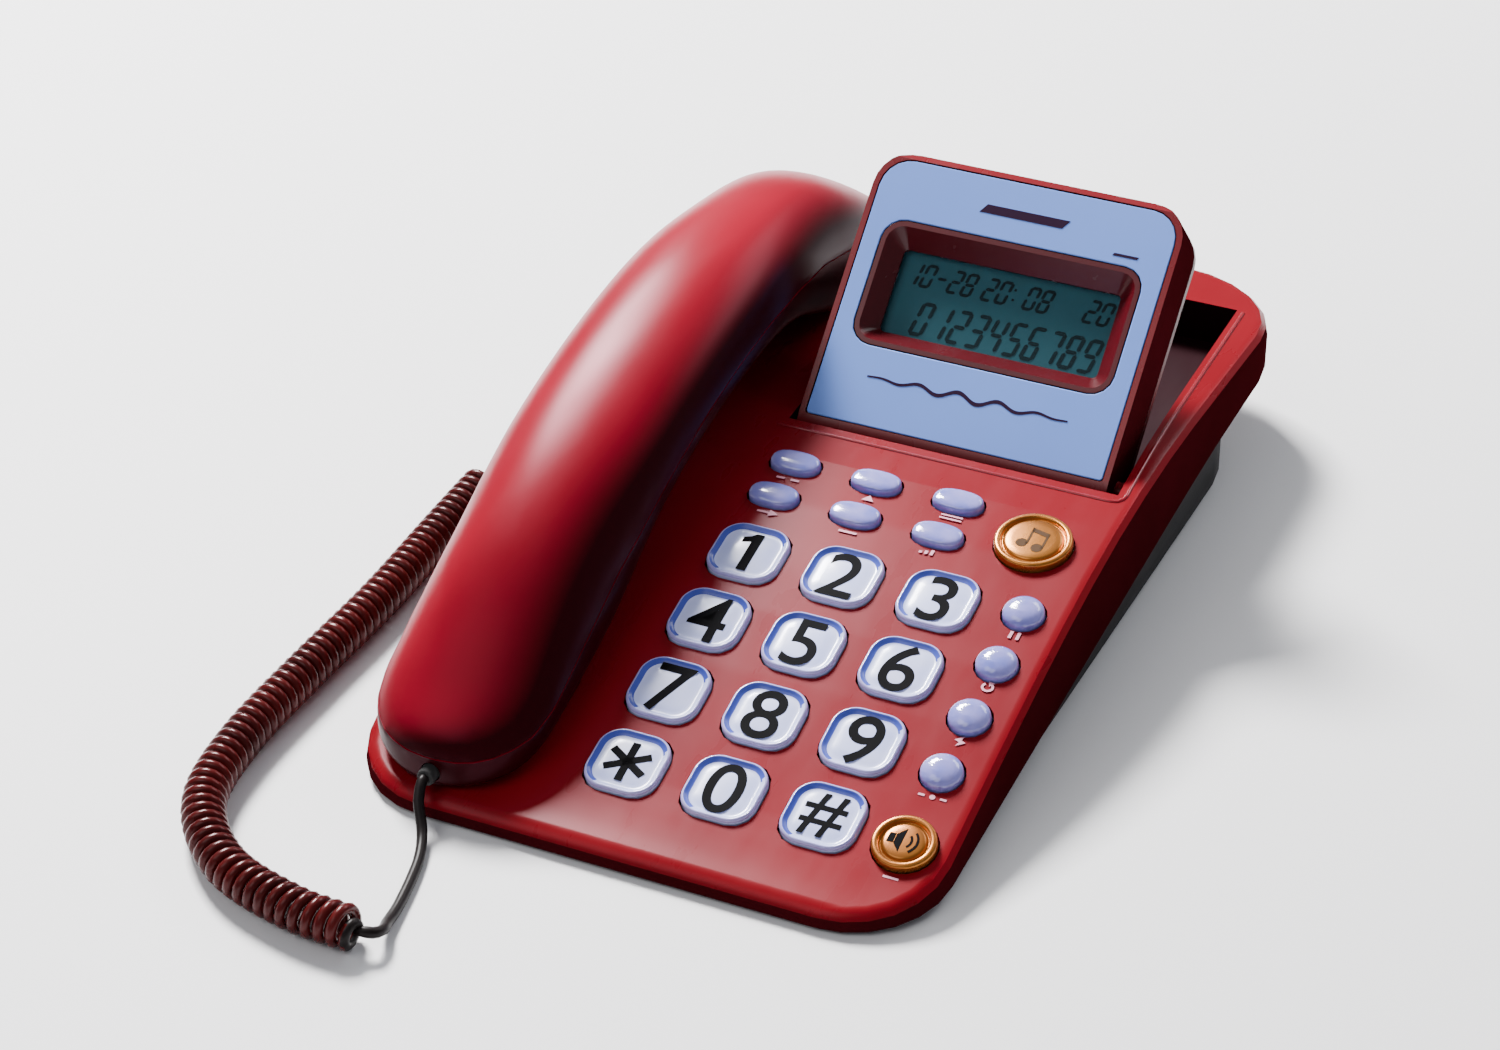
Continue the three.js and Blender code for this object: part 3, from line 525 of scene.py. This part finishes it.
def roundedOut(piece, rounding):
    # quads again, sharp edges held, then rounded by subdivision
    sharp = math.radians(rounding["sharp"])
    selectBy("EDGE")
    editMode(piece)
    bpy.ops.mesh.select_all(action="SELECT")
    bpy.ops.mesh.tris_convert_to_quads(face_threshold=math.radians(rounding["faceTurn"]),
                                       shape_threshold=math.radians(rounding["shapeTurn"]))
    bpy.ops.mesh.select_all(action="DESELECT")
    bpy.ops.mesh.edges_select_sharp(sharpness=sharp)
    bpy.ops.transform.edge_crease(value=1)
    objectMode()
    subdivision = piece.modifiers.new("round", "SUBSURF")
    subdivision.levels = rounding["levels"]
    subdivision.render_levels = rounding["levels"]
    applyModifiers(piece)
    # broad faces are evened out, the rims and holes stay as they are
    editMode(piece)
    bpy.ops.mesh.select_all(action="DESELECT")
    bpy.ops.mesh.edges_select_sharp(sharpness=sharp)
    bpy.ops.mesh.select_more()
    bpy.ops.mesh.select_all(action="INVERT")
    piece.vertex_groups.new(name="broad")
    bpy.ops.object.vertex_group_assign()
    objectMode()
    evening = piece.modifiers.new("evening", "SMOOTH")
    evening.factor = rounding["evenness"]
    evening.iterations = rounding["passes"]
    evening.vertex_group = "broad"
    applyModifiers(piece)
    pick(piece)
    bpy.ops.object.shade_smooth_by_angle(angle=sharp)


# finish, slot, width of the rounded edge, and the angle from which an edge counts as sharp
shells = {
    "base_top_shell": ("redHousing", "red_shell", 0.0003, 28),
    "base_bottom_shell": ("blackTray", "black_tray", 0.0004, 35),
    "display_housing": ("redGloss", "red_shell", 0.0006, 35),
    "display_back_cover": ("darkRed", "dark_red", 0.0005, 35),
    "display_faceplate": ("bluePlate", "blue_plate", 0.0002, 35),
    "lcd_bezel": ("bezelRed", "red_shell", 0.0003, 35),
    "earpiece_cap": ("redGloss", "red_shell", 0.0003, 35),
    "mouthpiece_cap": ("redGloss", "red_shell", 0.0003, 35),
    "hook_plunger": ("blackTray", "black_tray", 0.0004, 35),
    "line_jack": ("blackTray", "black_tray", 0.0002, 35),
    "handset_jack": ("blackTray", "black_tray", 0.0002, 35),
    "cord_plug": ("smokyPlug", "clear_plug", 0.0006, 35),
    "cord_grommet": ("rubberFoot", "rubber", 0.0005, 35),
}


def makeShells():
    for node, (look, slot, width, angle) in shells.items():
        piece = skinOf(node)
        softEdges(piece, width, angle)
        settle(piece, node + "_skin", bodyOf(node), finish[look], [node])
    for node in ("handset_outer_shell", "handset_inner_shell"):
        piece = skinOf(node)
        roundedOut(piece, handsetRounding)
        settle(piece, node + "_skin", "handset", finish["redHandset"], [node])


makeShells()
print("shells softened")


def feelerOf(piece):
    corners = [v.co.copy() for v in piece.data.vertices]
    return BVHTree.FromPolygons(corners, [tuple(f.vertices) for f in piece.data.polygons])


def heightAt(feeler, x, y):
    # height of the first surface under the point, felt from well above the telephone
    spot = feeler.ray_cast(Vector((x, y, 0.3)), Vector((0, 0, -1)))[0]
    return spot.z if spot else 0


recessReach = {
    # past the display's back cover
    "left": 0.002,
    "right": 0.004,
    "front": 0.01,
    # in from the housing's rear and right edges
    "rear": 0.017,
    "rim": 0.0045,
    # below the rim
    "depth": 0.0012,
}


def darkenRecess(reach):
    # painted shade: the faces down in the display's recess take a near-black red
    skin = bpy.data.objects["base_top_shell_skin"]
    skin.data.materials.append(finish["recessShadeRed"])
    feeler = feelerOf(skin)
    low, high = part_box("display_back_cover")
    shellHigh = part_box("base_top_shell")[1]
    for face in skin.data.polygons:
        spot = face.center
        beside = low.x - reach["left"] < spot.x < high.x + reach["right"]
        along = low.y - reach["front"] < spot.y < shellHigh.y - reach["rear"]
        if not (beside and along):
            continue
        rim = heightAt(feeler, shellHigh.x - reach["rim"], spot.y)
        if spot.z < rim - reach["depth"]:
            face.material_index = 1


darkenRecess(recessReach)


def darkenSides(name, outward, limit):
    # painted shade: walls turned away from the piece's front take a near-black, unreflecting red
    piece = bpy.data.objects[name]
    piece.data.materials.append(finish["wallShadeRed"])
    last = len(piece.data.materials) - 1
    for face in piece.data.polygons:
        if face.material_index == 0 and face.normal.dot(outward) < limit:
            face.material_index = last


# raised lip in front of the recess and along its right side, its corners and step in mm
lipShape = {
    "half": 0.00055,
    "sunk": 0.0002,
    "step": 2,
    "corners": [(-19, 4.9), (56.6, 4.9), (58.4, 5.3), (59.3, 6.4), (59.5, 8), (55.4, 97)],
}


def makeLip(shape):
    feeler = feelerOf(bpy.data.objects["base_top_shell_skin"])
    spots = []
    for (x0, y0), (x1, y1) in zip(shape["corners"], shape["corners"][1:]):
        count = max(1, round(math.hypot(x1 - x0, y1 - y0) / shape["step"]))
        spots += [((x0 + (x1 - x0) * i / count) * 0.001, (y0 + (y1 - y0) * i / count) * 0.001)
                  for i in range(count)]
    curve = bpy.data.curves.new("lip", "CURVE")
    curve.dimensions = "3D"
    curve.bevel_depth = shape["half"]
    curve.bevel_resolution = 3
    curve.use_fill_caps = True
    spline = curve.splines.new("POLY")
    spline.points.add(len(spots) - 1)
    for point, (x, y) in zip(spline.points, spots):
        point.co = (x, y, heightAt(feeler, x, y) - shape["sunk"], 1)
    lip = bpy.data.objects.new("lip", curve)
    bpy.context.scene.collection.objects.link(lip)
    pick(lip)
    bpy.ops.object.convert(target="MESH")
    lip = bpy.context.view_layer.objects.active
    bpy.ops.object.shade_smooth_by_angle(angle=math.radians(50))
    settle(lip, "recess_lip", "base", finish["lipRed"])


makeLip(lipShape)

# the display's own frame: origin on its hinge, Z out of its face
tiltJoint = joints["display_tilt"]
displayTurn = Matrix.Rotation(math.radians(-tiltJoint["range_deg"][0]), 4, "X")
displayPlace = Matrix.Translation(tiltJoint["pos_m"]) @ displayTurn
# painted shade on the walls of the base and of the display that turn away from their fronts
sideLimit = 0.42
darkenSides("base_top_shell_skin", Vector((0, 0, 1)), sideLimit)
darkenSides("display_housing_skin", displayTurn.to_3x3() @ Vector((0, 0, 1)), sideLimit)

# nodes that keep their own mesh
plainNodes = {
    "foot": "rubberFoot", "base_screw": "steel", "handset_screw": "steel", "ringer": "steel",
    "keypad_mat": "matRubber", "keypad_board": "board", "lcd_panel": "lcdPanel", "lcd_glass": "lcdGlass",
}
for node, thing in nodes.items():
    for start, look in plainNodes.items():
        if node.startswith(start):
            setMaterial(thing, finish[look])

inkThick = 0.00006


def flatShape(outline, thick=inkThick):
    curve = bpy.data.curves.new("shape", "CURVE")
    curve.dimensions = "2D"
    curve.fill_mode = "BOTH"
    curve.extrude = thick / 2
    spline = curve.splines.new("POLY")
    spline.points.add(len(outline) - 1)
    for point, (x, y) in zip(spline.points, outline):
        point.co = (x, y, 0, 1)
    spline.use_cyclic_u = True
    shape = bpy.data.objects.new("shape", curve)
    bpy.context.scene.collection.objects.link(shape)
    pick(shape)
    bpy.ops.object.convert(target="MESH")
    return bpy.context.view_layer.objects.active


def bar(x, y, width, height):
    return [(x - width / 2, y - height / 2), (x + width / 2, y - height / 2),
            (x + width / 2, y + height / 2), (x - width / 2, y + height / 2)]


def arc(x, y, inner, outer, start, end, steps=8):
    turns = [math.radians(start + (end - start) * i / steps) for i in range(steps + 1)]
    outside = [(x + outer * math.cos(t), y + outer * math.sin(t)) for t in turns]
    inside = [(x + inner * math.cos(t), y + inner * math.sin(t)) for t in reversed(turns)]
    return outside + inside


def markPiece(outlines, place, name, body, look):
    piece = joinPieces([flatShape([(x * 0.001, y * 0.001) for x, y in o]) for o in outlines])
    placeMesh(piece, place)
    settle(piece, name, body, finish[look])


# how far the caps reach down below the housing's surface
footDrop = 0.0027

keyShape = {
    "width": 0.0158,
    "length": 0.0154,
    "corner": 0.0051,
    "cornerSteps": 9,
    "shoulder": 0.0005,
    # inward step and rise of each ring of the cap: round rim, then a dish
    "rings": [(0.00005, 0.00022), (0.0001, 0.0002), (0.00016, 0.00018), (0.00016, 0.00008), (0.00014, 0),
              (0.00014, -0.00008), (0.0002, -0.0002), (0.0003, -0.00024), (0.00036, -0.00016),
              (0.0004, -0.00004), (0.0008, 0.0001), (0.0012, 0.00014)],
    # the dish's wall lies between these rings, and gets painted shade in deep blue left of the slanting line
    "wallRings": (5, 9),
    "shadeFrom": -0.002,
    "numberSize": 0.0173,
    "numberLift": 0.00004,
    "numberBold": 0.00012,
    "numberThick": 0.00008,
    "hashShare": 0.85,
    "starSize": 0.0098,
    "starArm": 0.17,
}


def buttonPlace(node):
    # the button's own upright frame: origin on the housing's surface, Z out along its travel
    axis = Vector(joints[node + "_press"]["axis"])
    out = -axis
    side = Vector((1, 0, 0))
    along = out.cross(side)
    corners = [v.co for v in nodes[node].data.vertices]
    lowest = min(c.dot(out) for c in corners) + footDrop
    middle = (min(c.dot(along) for c in corners) + max(c.dot(along) for c in corners)) / 2
    across = (min(c.x for c in corners) + max(c.x for c in corners)) / 2
    spot = out * lowest + along * middle + side * across
    place = Matrix.Identity(4)
    for i, direction in enumerate((side, along, out)):
        place[0][i], place[1][i], place[2][i] = direction
    place.translation = spot
    return place


def modelDigitKey(shape):
    clearPick()
    height = shape["shoulder"] + footDrop
    bpy.ops.mesh.primitive_cube_add(size=1, location=(0, 0, height / 2 - footDrop),
                                    scale=(shape["width"], shape["length"], height))
    piece = bpy.context.view_layer.objects.active
    bpy.ops.object.transform_apply(location=True, rotation=True, scale=True)
    setMaterial(piece, finish["digitKey"], finish["keyShadeBlue"], finish["keyRim"])
    selectNone(piece)
    selectBy("EDGE")
    for edge in piece.data.edges:
        a, b = (piece.data.vertices[i].co for i in edge.vertices)
        edge.select = abs(a.z - b.z) > height / 2
    editMode(piece)
    bpy.ops.mesh.bevel(offset=shape["corner"], segments=shape["cornerSteps"], affect="EDGES")
    objectMode()
    selectNone(piece)
    selectBy("FACE")
    for face in piece.data.polygons:
        face.select = face.normal.z > 0.9
    editMode(piece)
    for inward, rise in shape["rings"]:
        bpy.ops.mesh.inset(thickness=inward)
        bpy.ops.transform.translate(value=(0, 0, rise))
    objectMode()
    paintWall(piece, shape)
    bpy.ops.object.shade_smooth_by_angle(angle=math.radians(50))
    return piece


def paintWall(piece, shape):
    # the rim outside the dish has its own finish, and the dish's wall gets painted shade in deep blue at its
    # upper left
    first, last = shape["wallRings"]
    outer = shape["width"] / 2 - sum(inward for inward, _ in shape["rings"][:first])
    inner = shape["width"] / 2 - sum(inward for inward, _ in shape["rings"][:last])
    corner = shape["corner"]
    for face in piece.data.polygons:
        x, y = abs(face.center.x), abs(face.center.y) + (shape["width"] - shape["length"]) / 2
        flat = shape["width"] / 2 - corner
        reach = flat + math.hypot(max(x - flat, 0), max(y - flat, 0)) if min(x, y) > flat else max(x, y)
        if face.center.z > shape["shoulder"] + 0.00001 and reach > inner:
            inShade = face.center.y - face.center.x > shape["shadeFrom"]
            face.material_index = 2 if reach > outer else 1 if inShade else 0


def starMark(shape):
    size = shape["starSize"]
    arms = []
    for i in range(3):
        clearPick()
        bpy.ops.mesh.primitive_cube_add(size=1, location=(0, 0, 0),
                                        scale=(size, size * shape["starArm"], shape["numberThick"]))
        arm = bpy.context.view_layer.objects.active
        placeMesh(arm, Matrix.Rotation(math.radians(30 + 60 * i), 4, "Z"))
        arms.append(arm)
    return joinPieces(arms)


def textMark(words, size, bold, thick):
    clearPick()
    bpy.ops.object.text_add(location=(0, 0, 0))
    text = bpy.context.view_layer.objects.active
    text.data.body = words
    text.data.size = size
    text.data.align_x = "CENTER"
    text.data.align_y = "CENTER"
    text.data.offset = bold
    text.data.extrude = thick / 2
    bpy.ops.object.convert(target="MESH")
    mark = bpy.context.view_layer.objects.active
    corners = [v.co.copy() for v in mark.data.vertices]
    middleX = (min(c.x for c in corners) + max(c.x for c in corners)) / 2
    middleY = (min(c.y for c in corners) + max(c.y for c in corners)) / 2
    placeMesh(mark, Matrix.Translation((-middleX, -middleY, 0)))
    return mark


# the digit one in mm
oneOutline = [(-2.6, 2.3), (-2.6, 3.8), (-1.1, 4.4), (-0.2, 5.3),
              (1.5, 5.3), (1.5, -5.3), (-0.6, -5.3), (-0.6, 2.9)]


def makeDigitKeys(shape):
    pattern = modelDigitKey(shape)
    capHeight = shape["shoulder"] + sum(rise for _, rise in shape["rings"])
    signs = {str(i): str(i) for i in range(10)}
    signs.update({"star": "*", "hash": "#"})
    for name, sign in signs.items():
        node = "key_" + name
        place = buttonPlace(node)
        key = copyOf(pattern)
        placeMesh(key, place)
        settle(key, node + "_cap", node, None, [node])
        if sign == "*":
            mark = starMark(shape)
        elif sign == "1":
            mark = flatShape([(x * 0.001, y * 0.001) for x, y in oneOutline], shape["numberThick"])
        else:
            size = shape["numberSize"] * (shape["hashShare"] if sign == "#" else 1)
            mark = textMark(sign, size, shape["numberBold"], shape["numberThick"])
        placeMesh(mark, place @ Matrix.Translation((0, 0, capHeight + shape["numberLift"])))
        settle(mark, node + "_mark", node, finish["blackInk"])
    bpy.data.objects.remove(pattern)


makeDigitKeys(keyShape)
print("digit keys made")


coinShape = {
    "across": {"button_handsfree": 0.013, "button_music": 0.0164},
    "shoulder": 0.0011,
    "around": 64,
    "markHeight": 0.0018,
    # inward step and rise of each ring: round rim, groove, slightly domed middle
    "rings": [(0.00006, 0.0003), (0.00016, 0.00024), (0.00024, 0.00012), (0.0006, 0.00002), (0.0002, -0.0001),
              (0.0002, -0.0004), (0.00014, -0.00034), (0.0003, 0), (0.00016, 0.0003), (0.0002, 0.0003),
              (0.0004, 0.00012), (0.0012, 0.00012)],
}


def makeCoins(shape):
    for node, across in shape["across"].items():
        clearPick()
        height = shape["shoulder"] + footDrop
        bpy.ops.mesh.primitive_cylinder_add(vertices=shape["around"], radius=across / 2, depth=height,
                                            location=(0, 0, shape["shoulder"] - height / 2))
        coin = bpy.context.view_layer.objects.active
        bpy.ops.object.transform_apply(location=True, rotation=True, scale=True)
        selectNone(coin)
        selectBy("FACE")
        for face in coin.data.polygons:
            face.select = face.normal.z > 0.9
        editMode(coin)
        for inward, rise in shape["rings"]:
            bpy.ops.mesh.inset(thickness=inward)
            bpy.ops.transform.translate(value=(0, 0, rise))
        objectMode()
        bpy.ops.object.shade_smooth_by_angle(angle=math.radians(70))
        placeMesh(coin, buttonPlace(node))
        settle(coin, node + "_cap", node, finish["goldCap"], [node])


makeCoins(coinShape)


def makeSmallButtons():
    for node in nodes:
        if not node.startswith("button_") or node in coinShape["across"]:
            continue
        piece = skinOf(node)
        dome = piece.modifiers.new("dome", "SUBSURF")
        dome.levels = 2
        dome.render_levels = 2
        applyModifiers(piece)
        pick(piece)
        bpy.ops.object.shade_smooth()
        settle(piece, node + "_cap", node, finish["pearlKey"], [node])


makeSmallButtons()
print("small buttons made")

# outlines of the two marks in mm
speakerIcon = [
    bar(-2.6, 0, 1.3, 2.2),
    [(-1.8, -1.1), (-0.2, -2.9), (-0.2, 2.9), (-1.8, 1.1)],
    arc(-0.4, 0, 1.7, 2.2, -45, 45),
    arc(-0.4, 0, 2.9, 3.4, -48, 48),
]
noteIcon = [
    arc(-1.9, -1.9, 0, 1.25, 0, 360, 16),
    bar(-0.85, 0.6, 0.5, 5.2),
    [(-1.1, 3.2), (2.9, 2.3), (2.9, 1.1), (-1.1, 2)],
    bar(2.65, -0.2, 0.5, 4.8),
    arc(1.65, -2.5, 0, 1.25, 0, 360, 16),
]
goldMarks = {
    "button_handsfree": (speakerIcon, "blackInk"),
    "button_music": (noteIcon, "brownInk"),
}


def markCoins():
    for node, (icon, look) in goldMarks.items():
        place = buttonPlace(node) @ Matrix.Translation((0, 0, coinShape["markHeight"]))
        markPiece(icon, place, node + "_mark", node, look)


markCoins()

# small signs printed on the housing in front of each button, outlines in mm
printedSigns = {
    "button_set": [bar(-1.2, 0, 1.4, 0.45), bar(1.2, 0, 1.4, 0.45)],
    "button_up": [[(-1, -0.6), (1, -0.6), (0, 0.8)]],
    "button_redial_list": [bar(0, 0.55, 3.6, 0.35), bar(0, -0.25, 3.6, 0.35)],
    "button_out": [bar(-0.5, 0, 2, 0.4), [(0.5, -0.8), (2, 0), (0.5, 0.8)]],
    "button_delete": [bar(0, 0, 3, 0.45)],
    "button_volume": [bar(-1.5, -0.35, 0.5, 0.5), bar(-0.6, -0.2, 0.5, 0.8), bar(0.3, 0, 0.5, 1.2)],
    "button_pause": [bar(-0.6, 0, 0.5, 1.6), bar(0.6, 0, 0.5, 1.6)],
    "button_redial": [arc(0, 0, 0.6, 1, 130, 410, 12), [(0.16, 0.19), (0.87, 1.03), (-0.18, 1.19)]],
    "button_flash": [[(-0.9, 0.1), (0.4, 1.1), (0.1, 0.2), (0.9, -0.1), (-0.4, -1.1), (-0.1, -0.2)]],
    "button_callback": [arc(0, 0, 0, 0.45, 0, 360, 12), bar(-1.7, 0, 1, 0.4), bar(1.7, 0, 1, 0.4)],
    "button_handsfree": [bar(0, 0, 2.4, 0.4)],
}
signPrint = {
    "gap": 0.0009,
    "right": 0.0004,
    "lift": 0.00014,
    "wider": 1.35,
    "longer": 1.25,
}


def printSigns(setup):
    for node, outlines in printedSigns.items():
        low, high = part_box(node)
        drop = (high.y - low.y) / 2 + setup["gap"]
        place = buttonPlace(node) @ Matrix.Translation((setup["right"], -drop, setup["lift"]))
        larger = [[(x * setup["wider"], y * setup["longer"]) for x, y in outline] for outline in outlines]
        markPiece(larger, place, node + "_sign", "base", "paleInk")


printSigns(signPrint)
print("marks printed")

displayShape = {
    "plateTop": 0.00745,
    "plateInk": 0.00004,
    "panelTop": 0.0016,
    "panelInk": 0.00008,
    "digitThick": 0.00004,
    "bigDigit": (0.0034, 0.0080),
    "smallDigit": (0.0027, 0.0056),
    "slant": 0.22,
    # digits, left end, foot, size and pitch of each row
    "rows": [
        ("0123456789", -0.0196, 0.0231, "bigDigit", 0.0043),
        ("10-28", -0.0238, 0.034, "smallDigit", 0.0032),
        ("20:08", -0.0062, 0.034, "smallDigit", 0.0032),
        ("20", 0.0172, 0.034, "smallDigit", 0.0032),
    ],
    # plain ornaments in mm: a slanted bar and a dash above the window, and a wave below it
    "bars": [
        [(-10, -1), (9, -1), (10.4, 1), (-8.6, 1)],
        [(21.5, -4.4), (27, -4.4), (27.4, -3.8), (21.9, -3.8)],
    ],
    "barsUp": 0.0528,
    "waveUp": 0.0106,
    "wave": {"reach": 23, "height": 0.9, "turn": 0.52, "thin": 0.18, "swell": 0.28, "steps": 60},
}

# which of a digit's seven segments are dark
segmentsOn = {
    "0": "abcdef", "1": "bc", "2": "abged", "3": "abgcd", "4": "fgbc", "5": "afgcd",
    "6": "afgedc", "7": "abc", "8": "abcdefg", "9": "abfgcd", "-": "g",
}

# thickness as a share of the digit's width, tips and shoulders as shares of that thickness
segmentShape = {
    "thick": 0.26,
    "levelTip": 0.45,
    "levelShoulder": 0.9,
    "uprightTip": 0.4,
    "uprightShoulder": 0.85,
    # the colon's two dots: how far along their place, their heights and their size
    "colonIn": 0.35,
    "colonLevels": (0.3, 0.7),
    "colonDot": 0.2,
}


def segmentOutline(letter, width, height, slant):
    thick = width * segmentShape["thick"]
    edge = thick / 2
    half = height / 2
    level = {"a": height, "g": half, "d": 0}
    if letter in level:
        y = min(max(level[letter], edge), height - edge)
        tip = thick * segmentShape["levelTip"]
        shoulder = thick * segmentShape["levelShoulder"]
        outline = [(tip, y), (shoulder, y + edge), (width - shoulder, y + edge),
                   (width - tip, y), (width - shoulder, y - edge), (shoulder, y - edge)]
    else:
        x = edge if letter in "ef" else width - edge
        low = half if letter in "bf" else 0
        tip = thick * segmentShape["uprightTip"]
        shoulder = thick * segmentShape["uprightShoulder"]
        outline = [(x, low + tip), (x + edge, low + shoulder), (x + edge, low + half - shoulder),
                   (x, low + half - tip), (x - edge, low + half - shoulder), (x - edge, low + shoulder)]
    return [(x + y * slant, y) for x, y in outline]


def digitRow(words, x, y, size, pitch):
    width, height = size
    shapes = []
    for i, sign in enumerate(words):
        if sign == ":":
            dot = width * segmentShape["colonDot"]
            for level in segmentShape["colonLevels"]:
                middle = (x + pitch * (i + segmentShape["colonIn"]), y + height * level)
                shapes.append(bar(*middle, dot, dot))
            continue
        for letter in segmentsOn.get(sign, ""):
            outline = segmentOutline(letter, width, height, displayShape["slant"])
            shapes.append([(x + pitch * i + a, y + b) for a, b in outline])
    return shapes


def waveOutline(wave):
    # out along the upper edge and back along the lower one
    outline = []
    for side in (1, -1):
        for i in range(wave["steps"] + 1)[::side]:
            share = i / wave["steps"]
            bulge = math.sin(math.pi * share)
            middle = wave["height"] * math.sin(i * wave["turn"]) * bulge
            thick = wave["thin"] + wave["swell"] * bulge
            outline.append((wave["reach"] * (2 * share - 1), middle + side * thick))
    return outline


def makeDisplayMarks(shape):
    rows = []
    for words, left, foot, size, pitch in shape["rows"]:
        rows += digitRow(words, left, foot, shape[size], pitch)
    digits = joinPieces([flatShape(outline, shape["digitThick"]) for outline in rows])
    placeMesh(digits, displayPlace @ Matrix.Translation((0, 0, shape["panelTop"] + shape["panelInk"])))
    settle(digits, "lcd_digits", "display", finish["lcdInk"])
    ink = shape["plateTop"] + shape["plateInk"]
    place = displayPlace @ Matrix.Translation((0, shape["barsUp"], ink))
    markPiece(shape["bars"], place, "plate_bar", "display", "plumInk")
    place = displayPlace @ Matrix.Translation((0, shape["waveUp"], ink))
    markPiece([waveOutline(shape["wave"])], place, "plate_wave", "display", "plumInk")


makeDisplayMarks(displayShape)
print("display made")

studio = {
    "floor": (0.86, 0.86, 0.87),
    "floorSize": 6,
    "floorRough": 0.6,
    "world": (0.9, 0.92, 1.0),
    "worldStrength": 0.3,
    # place, aimed point, width, height, power, colour
    "lamps": [
        ((-0.85, 0.7, 1.1), (-0.02, 0.0, 0.03), 0.42, 0.42, 96, (1, 0.985, 0.98)),
        ((-0.6, -1.1, 1.4), (0.02, -0.03, 0.0), 1.3, 0.9, 9, (1, 1, 1)),
        ((0.5, 1.3, 1.1), (0.03, 0.02, 0.0), 1.0, 0.5, 10, (0.95, 0.97, 1)),
    ],
}


def makeFloor():
    clearPick()
    bpy.ops.mesh.primitive_plane_add(size=studio["floorSize"], location=(0, 0, 0))
    floor = bpy.context.view_layer.objects.active
    floor.name = "floor"
    material, _, shader, _ = startMaterial("paleFloor")
    shader.inputs["Base Color"].default_value = (*studio["floor"], 1)
    shader.inputs["Roughness"].default_value = studio["floorRough"]
    setMaterial(floor, material)


def makeLamp(spot, aim, width, height, power, colour):
    data = bpy.data.lights.new("softbox", "AREA")
    data.shape = "RECTANGLE"
    data.size = width
    data.size_y = height
    data.energy = power
    data.color = colour
    lamp = bpy.data.objects.new("softbox", data)
    bpy.context.scene.collection.objects.link(lamp)
    heading = Vector(aim) - Vector(spot)
    lamp.matrix_world = Matrix.Translation(spot) @ heading.to_track_quat("-Z", "Y").to_matrix().to_4x4()


makeFloor()
for lampSetup in studio["lamps"]:
    makeLamp(*lampSetup)
world = bpy.data.worlds.new("studio")
bpy.context.scene.world = world
world.use_nodes = True
background = world.node_tree.nodes["Background"]
background.inputs["Color"].default_value = (*studio["world"], 1)
background.inputs["Strength"].default_value = studio["worldStrength"]
print("studio lit")
